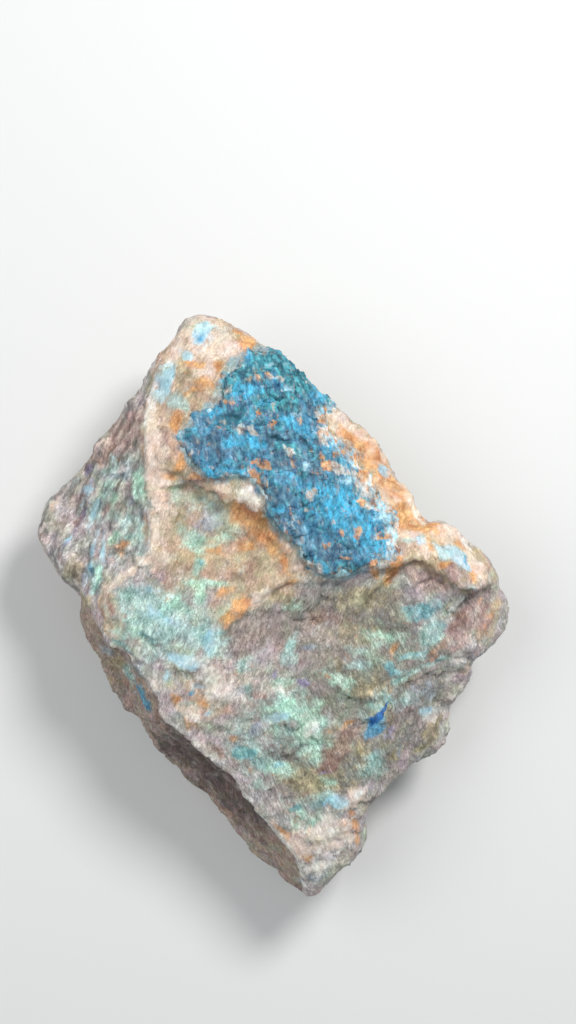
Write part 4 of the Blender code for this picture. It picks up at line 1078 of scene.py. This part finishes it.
# Minerals that also drift over the sides and the back, with their greatest strength.
DRIFTS = {
    "cream": 0.62, "turquoise": 0.62, "rust": 0.5, "mauve": 0.6, "olive": 0.5, "mint": 0.5,
    "pink": 0.5, "sky": 0.4,
}


def mineral_masks(points, normals, push, fine):
    """The strength of each mineral at each point, with the tones of the bare rock and the painted
    shading of its relief.
    """
    x, y = wander(points, amount=0.8, size=2.6, shift=7.0)
    fine_x, fine_y = wander(points, amount=0.32, size=1.0, shift=19.0)
    x, y = x + fine_x - points[:, 0], y + fine_y - points[:, 1]
    up = upper_face(points, normals, steepest=-0.15, flattest=0.3)
    masks = {name: patch_strength(patches, x, y) * up for name, patches in PATCHES.items()}

    # A painted highlight along the ridge and a pale rim of the flank, with the left-hand facet
    # between them.
    side, share = side_of_line(RIDGE, points[:, 0], points[:, 1])
    ridge_highlight = hump(side, CREST_WIDTH) * smooth_step(*CREST_START, share)
    ridge_highlight *= smooth_step(*CREST_END, share)
    rim_side, rim_share = side_of_line(FLANK_EDGE, points[:, 0], points[:, 1])
    rim = hump(rim_side - RIM_OFFSET, CREST_WIDTH) * smooth_step(*CREST_START, rim_share)
    pale = up * np.maximum(RIDGE_HIGHLIGHT_COVER * ridge_highlight, RIM_COVER * rim)
    masks["white"] = np.maximum(masks["white"], pale)
    facet = up * smooth_step(*FACET_BORDER, -side)
    masks["facet"] = facet * smooth_step(*FACET_BORDER, rim_side)

    # The steep flank below its rim, with a dark middle.
    flank = smooth_step(*FLANK_BORDER, rim_side) * smooth_step(*FLANK_SLOPES, normals[:, 2])
    masks["flank"] = flank * smooth_step(*FLANK_END, rim_share)
    dark = smooth_step(*DARK_START, rim_share) * smooth_step(*DARK_END, rim_share)
    masks["flank_dark"] = dark * smooth_step(*DARK_HEIGHTS, points[:, 2])

    # Drifts of minerals over the rest of the rock, and the stain that the crust left.
    for number, (mineral, most) in enumerate(DRIFTS.items(), start=1):
        clouds = lumps(points, DRIFT_SIZE, shift=13.7 * number)
        drift = smooth_step(*DRIFT_BORDER, clouds)
        drift *= most * (1.0 - DRIFT_LOSS_UP * up) * (1.0 - DRIFT_LOSS_FLANK * masks["flank"])
        masks[mineral] = np.maximum(masks[mineral], drift)
    stain = STAIN_COVER * smooth_step(*STAIN_BORDER, inside_outline(CRUST_OUTLINE, x, y)) * up
    masks["stain"] = stain * (1.0 - STAIN_LOSS * thin_side(points))
    masks["turn"] = grain_turn(points)
    # Painted shading from the relief: raised points painted lighter, and ledge drops, grooves and
    # cracks painted darker.
    masks["tone_and_painted_shading"] = np.clip(1.0 + 0.35 * fine + 0.10 * push, 0.75, 1.25)
    return masks


def make_rock(look):
    """Grow the broken surface of the rock over the plain solid."""
    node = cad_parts[ROCK_NODE]
    rock = bpy.data.objects.new("rock_matrix", node.data.copy())
    bpy.context.scene.collection.objects.link(rock)
    edit_mesh(rock, (bpy.ops.mesh.remove_doubles, {"threshold": 0.000001}))
    apply_modifier(rock, "REMESH", mode="VOXEL", voxel_size=look.rock_grain)
    apply_modifier(rock, "SMOOTH", factor=0.5, iterations=look.soften_steps)
    mesh = rock.data
    unwrap_as_box(mesh)
    points, normals = read_points(mesh), read_normals(mesh)
    push, fine = rock_push(points, normals, look)
    masks = mineral_masks(points, normals, push, fine)
    points += normals * (push + fine)[:, None]
    points[:, 2] = np.maximum(points[:, 2], 0.0)
    write_points(mesh, points)
    for name, values in masks.items():
        set_attribute(mesh, name, values)
    finish_piece(rock, stone_material(look))
    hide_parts(ROCK_NODE)


# ---------------------------------------------------------------- the crust

def ragged_reach(points):
    """Distance inside the crust's outline, with a ragged border."""
    reach = inside_outline(CRUST_OUTLINE, points[:, 0], points[:, 1])
    reach += 1.3 * lumps(points, size=2.8, shift=21.0) + 0.7 * lumps(points, size=1.2, shift=33.0)
    return reach + 0.35 * lumps(points, size=0.6, shift=47.0)


def cut_out_crust(mesh, cuts):
    """Keep only the part of the face that the crust covers, with finer faces."""
    points, normals = read_points(mesh), read_normals(mesh)
    keep = ragged_reach(points) > CRUST_EDGE
    keep &= (points[:, 2] > CRUST_FLOOR) & (normals[:, 2] > -0.1)
    bm = bmesh.new()
    bm.from_mesh(mesh)
    bm.verts.ensure_lookup_table()
    bare = [bm.verts[index] for index in np.flatnonzero(~keep)]
    bmesh.ops.delete(bm, geom=bare, context="VERTS")
    keep_largest_sheet(bm)
    bmesh.ops.subdivide_edges(bm, edges=bm.edges[:], cuts=cuts, use_grid_fill=True)
    bm.to_mesh(mesh)
    bm.free()
    mesh.update()


def crust_height(points, hollow):
    """Lumps, streaks and chips of the crust in millimetres, with its hollows."""
    height = 0.34 * lumps(points, size=3.4, shift=4.0) + 0.2 * lumps(points, size=1.5, shift=14.0)
    fibres = streaks(points, CRUST_RIDGES, length=2.4, width=0.8, shift=6.0)
    height += 0.07 * fibres + 0.03 * lumps(points, size=0.7, shift=44.0)
    height += 0.35 * chips(points, size=2.4, shift=27.0) - 0.6 * hollow
    return height


def make_crust(look, rock):
    """Raise the blue crust from the part of the rock's face that it covers."""
    crust = bpy.data.objects.new("linarite_crust", rock.data.copy())
    bpy.context.scene.collection.objects.link(crust)
    mesh = crust.data
    cut_out_crust(mesh, look.crust_cuts)
    points, normals = read_points(mesh), read_normals(mesh)
    inside = ragged_reach(points)
    thin = thin_side(points)
    border = smooth_step(CRUST_EDGE, CRUST_INNER + 0.5 * thin, inside)
    x, y = wander(points, amount=0.75, size=1.15, shift=9.0)
    masks = {name: patch_strength(patches, x, y) for name, patches in CRUST_PATCHES.items()}
    height = look.crust_relief * crust_height(points, masks["hollow"])
    rise = look.crust_rise / MM * (1.0 - 0.8 * thin) + height
    rise = rise * border - CRUST_DIP * (1.0 - border)
    # Painted shading of the crust: its lumps painted lighter, and its low places and hollows
    # painted darker.
    masks["tone_and_painted_shading"] = np.clip(1.0 + 0.35 * height, 0.75, 1.2)
    masks["frayed"] = smooth_step(1.8 + 2.4 * thin, 0.0, inside) * (0.42 + 0.4 * thin)
    write_points(mesh, points + normals * rise[:, None])
    sink_under_crust(look, rock)
    for name in (*MINERALS, *PLACE_MASKS, "tone_and_painted_shading"):
        mesh.attributes.remove(mesh.attributes[name])
    for name, values in masks.items():
        set_attribute(mesh, name, values)
    unwrap_from_above(mesh)
    edit_mesh(
        crust,
        (bpy.ops.mesh.extrude_region_move, {
            "TRANSFORM_OT_translate": {"value": (0.0, 0.0, -look.crust_depth)},
        }),
        (bpy.ops.mesh.select_all, {"action": "SELECT"}),
        (bpy.ops.mesh.normals_make_consistent, {"inside": False}),
    )
    finish_piece(crust, crust_material(look))


def sink_under_crust(look, rock):
    """Lower the rock where the crust covers it, so that the crust's hollows stay blue."""
    points, normals = read_points(rock.data), read_normals(rock.data)
    covered = smooth_step(0.2, 1.2, ragged_reach(points)) * smooth_step(-0.1, 0.2, normals[:, 2])
    covered *= smooth_step(*CRUST_HEIGHTS, points[:, 2])
    points -= normals * (look.crust_depth / MM * 0.9 * covered)[:, None]
    write_points(rock.data, points)


def keep_largest_sheet(bm):
    """Drop every loose scrap but the largest connected sheet."""
    unseen = set(bm.verts)
    sheets = []
    while unseen:
        first = unseen.pop()
        sheet, to_follow = [first], [first]
        while to_follow:
            vert = to_follow.pop()
            for other in (edge.other_vert(vert) for edge in vert.link_edges):
                if other in unseen:
                    unseen.discard(other)
                    sheet.append(other)
                    to_follow.append(other)
        sheets.append(sheet)
    largest = max(sheets, key=len)
    scraps = [vert for sheet in sheets if sheet is not largest for vert in sheet]
    bmesh.ops.delete(bm, geom=scraps, context="VERTS")
    loose = [vert for vert in bm.verts if not vert.link_faces]
    bmesh.ops.delete(bm, geom=loose, context="VERTS")


def unwrap_from_above(mesh):
    """Lay a sheet out flat as it is seen from above, for baked maps."""
    points = read_points(mesh)
    low, high = points.min(axis=0), points.max(axis=0)
    span = (high - low)[:2].max() * 1.02
    set_map(mesh, (points[read_corners(mesh)][:, :2] - low[:2]) / span + 0.005)


# ---------------------------------------------------------------- small crystals

def model_crystal():
    """Corners, faces and map of a four-sided crystal with pointed ends, one unit long."""
    bpy.ops.object.select_all(action="DESELECT")
    bpy.ops.mesh.primitive_uv_sphere_add(segments=4, ring_count=3, radius=0.5)
    piece = bpy.context.active_object
    mesh = piece.data
    corners = np.array([vert.co for vert in mesh.vertices])
    faces = [list(face.vertices) for face in mesh.polygons]
    places = np.array([corner.uv for corner in mesh.uv_layers.active.data])
    bpy.data.objects.remove(piece, do_unlink=True)
    bpy.data.meshes.remove(mesh)
    return corners, faces, places


def scatter(name, places, lengthways, outwards, sizes, values):
    """One mesh of many crystals, each turned, sized and coloured for its place."""
    corners, faces, crystal_map = model_crystal()
    count = len(places)
    across = np.cross(outwards, lengthways)
    across /= np.linalg.norm(across, axis=1)[:, None]
    upright = np.cross(lengthways, across)
    spots = (
        places[:, None, :]
        + corners[None, :, 0, None] * (across * sizes[:, 1:2])[:, None, :]
        + corners[None, :, 1, None] * (upright * sizes[:, 2:3])[:, None, :]
        + corners[None, :, 2, None] * (lengthways * sizes[:, 0:1])[:, None, :]
    ).reshape(-1, 3) * MM
    steps = (np.arange(count) * len(corners)).tolist()
    all_faces = [[corner + step for corner in face] for step in steps for face in faces]
    mesh = bpy.data.meshes.new(name)
    mesh.from_pydata(spots.tolist(), [], all_faces)
    # The map of each crystal takes its own cell of a square sheet.
    cells_a_side = math.ceil(math.sqrt(count))
    cells = np.stack([np.arange(count) % cells_a_side, np.arange(count) // cells_a_side], axis=1)
    set_map(mesh, (crystal_map[None] * 0.8 + 0.1 + cells[:, None, :]) / cells_a_side)
    for key, numbers in values.items():
        set_attribute(mesh, key, np.repeat(numbers, len(corners)))
    piece = bpy.data.objects.new(name, mesh)
    bpy.context.scene.collection.objects.link(piece)
    edit_mesh(piece, (bpy.ops.mesh.normals_make_consistent, {"inside": False}))
    return piece


def headings_on_surface(normals, heading, spread, lift, chance):
    """Unit directions that lie near the surface, about the headings seen from above."""
    turn = np.radians(heading) + chance.normal(0.0, math.radians(spread), len(normals))
    way = np.stack([np.cos(turn), np.sin(turn), np.zeros(len(normals))], axis=1)
    way -= (way * normals).sum(axis=1)[:, None] * normals
    way /= np.linalg.norm(way, axis=1)[:, None]
    rise = chance.normal(0.0, lift, len(normals))
    way += rise[:, None] * normals
    return way / np.linalg.norm(way, axis=1)[:, None]


# Habits of the two kinds of crystals: how far they turn from their heading in degrees, how
# they tilt, how deep they sit in millimetres, then from least to most their length, their
# width to the length and their thickness to the width, and the middle, the spread and the
# limits of their tint.
GRAIN_HABIT = {
    "spread": 26.0, "lift": 0.06, "sunk": 0.06, "length": (0.5, 1.5), "width": (0.24, 0.42),
    "thickness": (0.6, 1.0), "tone_and_painted_shading": (1.03, 0.07), "tint_limits": (0.85, 1.25),
}
BLADE_HABIT = {
    "spread": 30.0, "lift": 0.1, "sunk": 0.0, "length": (0.45, 1.5), "width": (0.2, 0.34),
    "thickness": (0.35, 0.7), "tone_and_painted_shading": (1.02, 0.11), "tint_limits": (0.75, 1.35),
}
GRAIN_HEADINGS = (67.0, 118.0)
BLADE_HEADING = 62.0
GRAIN_SEED = 11
BLADE_SEED = 23


def grow_crystals(name, host, spots, heading, length, habit, masks, chance):
    """Many small crystals of one habit on a piece, with the colours under each of them."""
    mesh = host.data
    places, outwards = read_points(mesh)[spots], read_normals(mesh)[spots]
    values = {key: get_attribute(mesh, key)[spots] for key in masks}
    count = len(spots)
    lengthways = headings_on_surface(outwards, heading, habit["spread"], habit["lift"], chance)
    lengths = length / MM * chance.uniform(*habit["length"], count)
    widths = lengths * chance.uniform(*habit["width"], count)
    thicknesses = widths * chance.uniform(*habit["thickness"], count)
    sizes = np.stack([lengths, widths, thicknesses], axis=1)
    # The crystals' own random tone, in place of the painted shading of the piece they sit on.
    values["tone_and_painted_shading"] = np.clip(chance.normal(*habit["tone_and_painted_shading"], count), *habit["tint_limits"])
    places = places - outwards * habit["sunk"]
    piece = scatter(name, places, lengthways, outwards, sizes, values)
    finish_piece(piece, mesh.materials[0])


def pick_spots(mask, count, chance):
    """Some of the points that a mask lets through, none of them twice."""
    open_spots = np.flatnonzero(mask)
    return chance.choice(open_spots, min(count, len(open_spots)), replace=False)


def make_needles(look, rock):
    """Small pale and stained crystals that lie in the grain of the rock."""
    chance = np.random.default_rng(GRAIN_SEED)
    mesh = rock.data
    points, normals = read_points(mesh), read_normals(mesh)
    inside = inside_outline(CRUST_OUTLINE, points[:, 0], points[:, 1])
    clusters = lumps(points, size=3.4, shift=71.0) + chance.uniform(-0.5, 0.5, len(points))
    bare = (normals[:, 2] > 0.35) & (inside < -0.2) & (clusters > -0.05)
    spots = pick_spots(bare, look.needle_count, chance)
    left, right = GRAIN_HEADINGS
    heading = np.where(get_attribute(mesh, "turn")[spots] > 0.5, right, left)
    masks = (*MINERALS, *PLACE_MASKS)
    grow_crystals("grain_crystals", rock, spots, heading, look.needle_length, GRAIN_HABIT,
                  masks, chance)


def make_blades(look, crust):
    """Blue bladed crystals that stand in and out of the crust."""
    chance = np.random.default_rng(BLADE_SEED)
    mesh = crust.data
    points, normals = read_points(mesh), read_normals(mesh)
    inside = inside_outline(CRUST_OUTLINE, points[:, 0], points[:, 1])
    top = (normals[:, 2] > 0.45) & (inside > 0.3) & (get_attribute(mesh, "hollow") < 0.4)
    spots = pick_spots(top, look.blade_count, chance)
    grow_crystals("linarite_blades", crust, spots, BLADE_HEADING, look.blade_length,
                  BLADE_HABIT, CRUST_TINTS, chance)


# ---------------------------------------------------------------- settings and operators

def tone(name, description, red, green, blue):
    """A colour setting, given as it is seen on a screen."""
    return FloatVectorProperty(
        name=name, description=description, subtype="COLOR", size=3, min=0.0, max=1.0,
        default=paint(red, green, blue),
    )


def depth(name, description, default):
    """A small length setting, in metres."""
    return FloatProperty(
        name=name, description=description, default=default, min=0.0, max=0.01,
        subtype="DISTANCE", unit="LENGTH", precision=5,
    )


class SpecimenLook(bpy.types.PropertyGroup):
    """Sizes and colours of the specimen."""

    rock_grain: depth("Rock Grain", "Spacing of the points of the rock's surface", 0.00047)
    soften_steps: IntProperty(
        name="Soften Steps", description="Smoothing passes before the broken surface is added",
        default=2, min=0, max=50,
    )
    chip_depth: depth("Chip Depth", "Relief of the broken facets", 0.0008)
    lump_depth: depth("Lump Depth", "Relief of the rounded lumps", 0.00016)
    streak_depth: depth("Streak Depth", "Relief of the fibrous grain", 0.0001)
    crust_rise: depth("Crust Rise", "How far the blue crust stands above the rock", 0.00028)
    crust_depth: depth("Crust Depth", "How deep the crust reaches into the rock", 0.0010)
    crust_relief: FloatProperty(
        name="Crust Relief", description="Strength of the crust's lumps and hollows",
        default=1.0, min=0.0, max=3.0, subtype="FACTOR",
    )
    crust_cuts: IntProperty(
        name="Crust Cuts", description="Cuts across each face of the crust for its fine relief",
        default=2, min=0, max=3,
    )
    needle_count: IntProperty(
        name="Grain Crystals", description="Number of small crystals in the rock's grain",
        default=3000, min=0, max=12000,
    )
    needle_length: depth("Grain Crystal Length", "Usual length of those crystals", 0.00055)
    blade_count: IntProperty(
        name="Blue Blades", description="Number of blue blades on the crust",
        default=1800, min=0, max=12000,
    )
    blade_length: depth("Blue Blade Length", "Usual length of the blue blades", 0.0008)

    grey_stone: tone("Grey Stone", "Cool part of the bare rock", 190, 182, 177)
    beige_stone: tone("Beige Stone", "Warm part of the bare rock", 198, 175, 149)
    green_stone: tone("Green Stone", "Pale green drifts in the bare rock", 184, 200, 184)
    # Painted shade: the tone laid where the shade patches are.
    shaded_stone: tone("Shaded Stone", "Dull part of the bare rock", 139, 136, 125)
    dark_flank: tone("Dark Flank", "Darkest part of the steep flank", 104, 89, 83)
    tan_flank: tone("Tan Flank", "Rest of the steep flank", 172, 153, 139)
    steel_blue: tone("Steel Blue", "Usual colour of the crust", 80, 145, 172)
    azure_blue: tone("Azure Blue", "Brightest colour of the crust", 80, 185, 224)
    deep_blue: tone("Deep Blue", "Shaded colour of the crust", 60, 113, 147)
    dull_blue: tone("Dull Blue", "Dark tone of the greyish blue crust", 76, 112, 142)
    pale_dull: tone("Pale Dull Blue", "Light tone of the greyish blue crust", 110, 150, 172)
    teal_crust: tone("Teal Crust", "Greenish parts of the crust", 84, 170, 180)
    # Dark tone of the teal drifts, and the painted shade of the crust's hollows.
    dark_teal_and_painted_shade: tone("Dark Teal", "Hollows of the crust", 40, 102, 118)
    rosy_crust: tone("Rosy Crust", "Greyish pink flecks of the crust", 154, 157, 162)
    pale_crust: tone("Pale Crust", "White and cream spots on the crust", 220, 216, 206)


for mineral, (_, _, what, light_tone, dark_tone) in MINERALS.items():
    SpecimenLook.__annotations__[f"pale_{mineral}"] = tone(
        f"Pale {mineral.title()}", f"Light tone of the {what}", *light_tone
    )
    SpecimenLook.__annotations__[f"deep_{mineral}"] = tone(
        f"Deep {mineral.title()}", f"Dark tone of the {what}", *dark_tone
    )


class SPECIMEN_OT_rock(bpy.types.Operator):
    """Grow the broken, stained surface of the rock"""

    bl_idname = "specimen.rock"
    bl_label = "Rock"

    def execute(self, context):
        make_rock(context.scene.specimen_look)
        return {"FINISHED"}


class SPECIMEN_OT_crust(bpy.types.Operator):
    """Raise the blue crust on the rock"""

    bl_idname = "specimen.crust"
    bl_label = "Blue Crust"

    def execute(self, context):
        make_crust(context.scene.specimen_look, bpy.data.objects["rock_matrix"])
        return {"FINISHED"}


class SPECIMEN_OT_crystals(bpy.types.Operator):
    """Scatter the small crystals over the rock and the crust"""

    bl_idname = "specimen.crystals"
    bl_label = "Small Crystals"

    def execute(self, context):
        look = context.scene.specimen_look
        make_needles(look, bpy.data.objects["rock_matrix"])
        make_blades(look, bpy.data.objects["linarite_crust"])
        return {"FINISHED"}


class SPECIMEN_OT_stage(bpy.types.Operator):
    """Set the pale floor, the lights and the camera"""

    bl_idname = "specimen.stage"
    bl_label = "Stage"

    def execute(self, context):
        set_floor()
        set_lights()
        set_camera()
        return {"FINISHED"}


class SPECIMEN_PT_panel(bpy.types.Panel):
    """Steps of the specimen, in the order they are run"""

    bl_label = "Linarite Specimen"
    bl_idname = "SPECIMEN_PT_panel"
    bl_space_type = "VIEW_3D"
    bl_region_type = "UI"
    bl_category = "Specimen"

    def draw(self, context):
        for step in STEPS:
            self.layout.operator(step.bl_idname)
        look = context.scene.specimen_look
        for name in SpecimenLook.__annotations__:
            self.layout.prop(look, name)


# ---------------------------------------------------------------- the stage

FLOOR_SIZE = 12.0
FLOOR_TONE = (226, 226, 224)
FLOOR_ROUGHNESS = 0.9
SKY_COLOUR = (0.86, 0.90, 0.95, 1.0)
SKY_STRENGTH = 0.375
CAMERA_PLACE = (0.00235, 0.0162, 0.350)
CAMERA_LENS = 69.68
CAMERA_SENSOR = 36.0
CAMERA_NEAR = 0.01

# Soft lights: name, place, width, power in watts.
LIGHTS = [
    ("key_light", (0.20, 0.26, 0.35), 0.15, 1.8),
    ("fill_light", (-0.30, 0.10, 0.42), 0.45, 0.95),
]


def set_floor():
    """A plain pale floor that reaches past every view."""
    bpy.ops.object.select_all(action="DESELECT")
    bpy.ops.mesh.primitive_plane_add(size=FLOOR_SIZE)
    floor = bpy.context.active_object
    floor.name = "floor"
    floor.data.materials.append(pale_floor_material())


def set_lights():
    """Two soft lamps that look at the middle of the scene, and a pale sky."""
    for name, place, width, power in LIGHTS:
        light = bpy.data.lights.new(name, "AREA")
        light.shape = "DISK"
        light.size = width
        light.energy = power
        lamp = bpy.data.objects.new(name, light)
        lamp.location = place
        lamp.rotation_euler = Vector(place).to_track_quat("Z", "Y").to_euler()
        bpy.context.scene.collection.objects.link(lamp)
    world = bpy.data.worlds.new("pale_studio")
    world.use_nodes = True
    sky = world.node_tree.nodes["Background"]
    sky.inputs["Color"].default_value = SKY_COLOUR
    sky.inputs["Strength"].default_value = SKY_STRENGTH
    bpy.context.scene.world = world
    bpy.context.scene.view_settings.view_transform = "Standard"


def set_camera():
    """A camera that looks straight down at the specimen."""
    data = bpy.data.cameras.new("specimen_camera")
    data.lens = CAMERA_LENS
    data.sensor_width = CAMERA_SENSOR
    data.clip_start = CAMERA_NEAR
    camera = bpy.data.objects.new("specimen_camera", data)
    camera.location = CAMERA_PLACE
    bpy.context.scene.collection.objects.link(camera)
    bpy.context.scene.camera = camera


# ---------------------------------------------------------------- add-on and run

STEPS = (SPECIMEN_OT_rock, SPECIMEN_OT_crust, SPECIMEN_OT_crystals, SPECIMEN_OT_stage)
CLASSES = (SpecimenLook, *STEPS, SPECIMEN_PT_panel)


def register():
    for item in CLASSES:
        bpy.utils.register_class(item)
    bpy.types.Scene.specimen_look = PointerProperty(type=SpecimenLook)


def unregister():
    del bpy.types.Scene.specimen_look
    for item in reversed(CLASSES):
        bpy.utils.unregister_class(item)


def main():
    """Run every step of the add-on."""
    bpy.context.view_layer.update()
    register()
    bpy.ops.specimen.rock()
    bpy.ops.specimen.crust()
    bpy.ops.specimen.crystals()
    bpy.ops.specimen.stage()


if __name__ == "__main__":
    main()
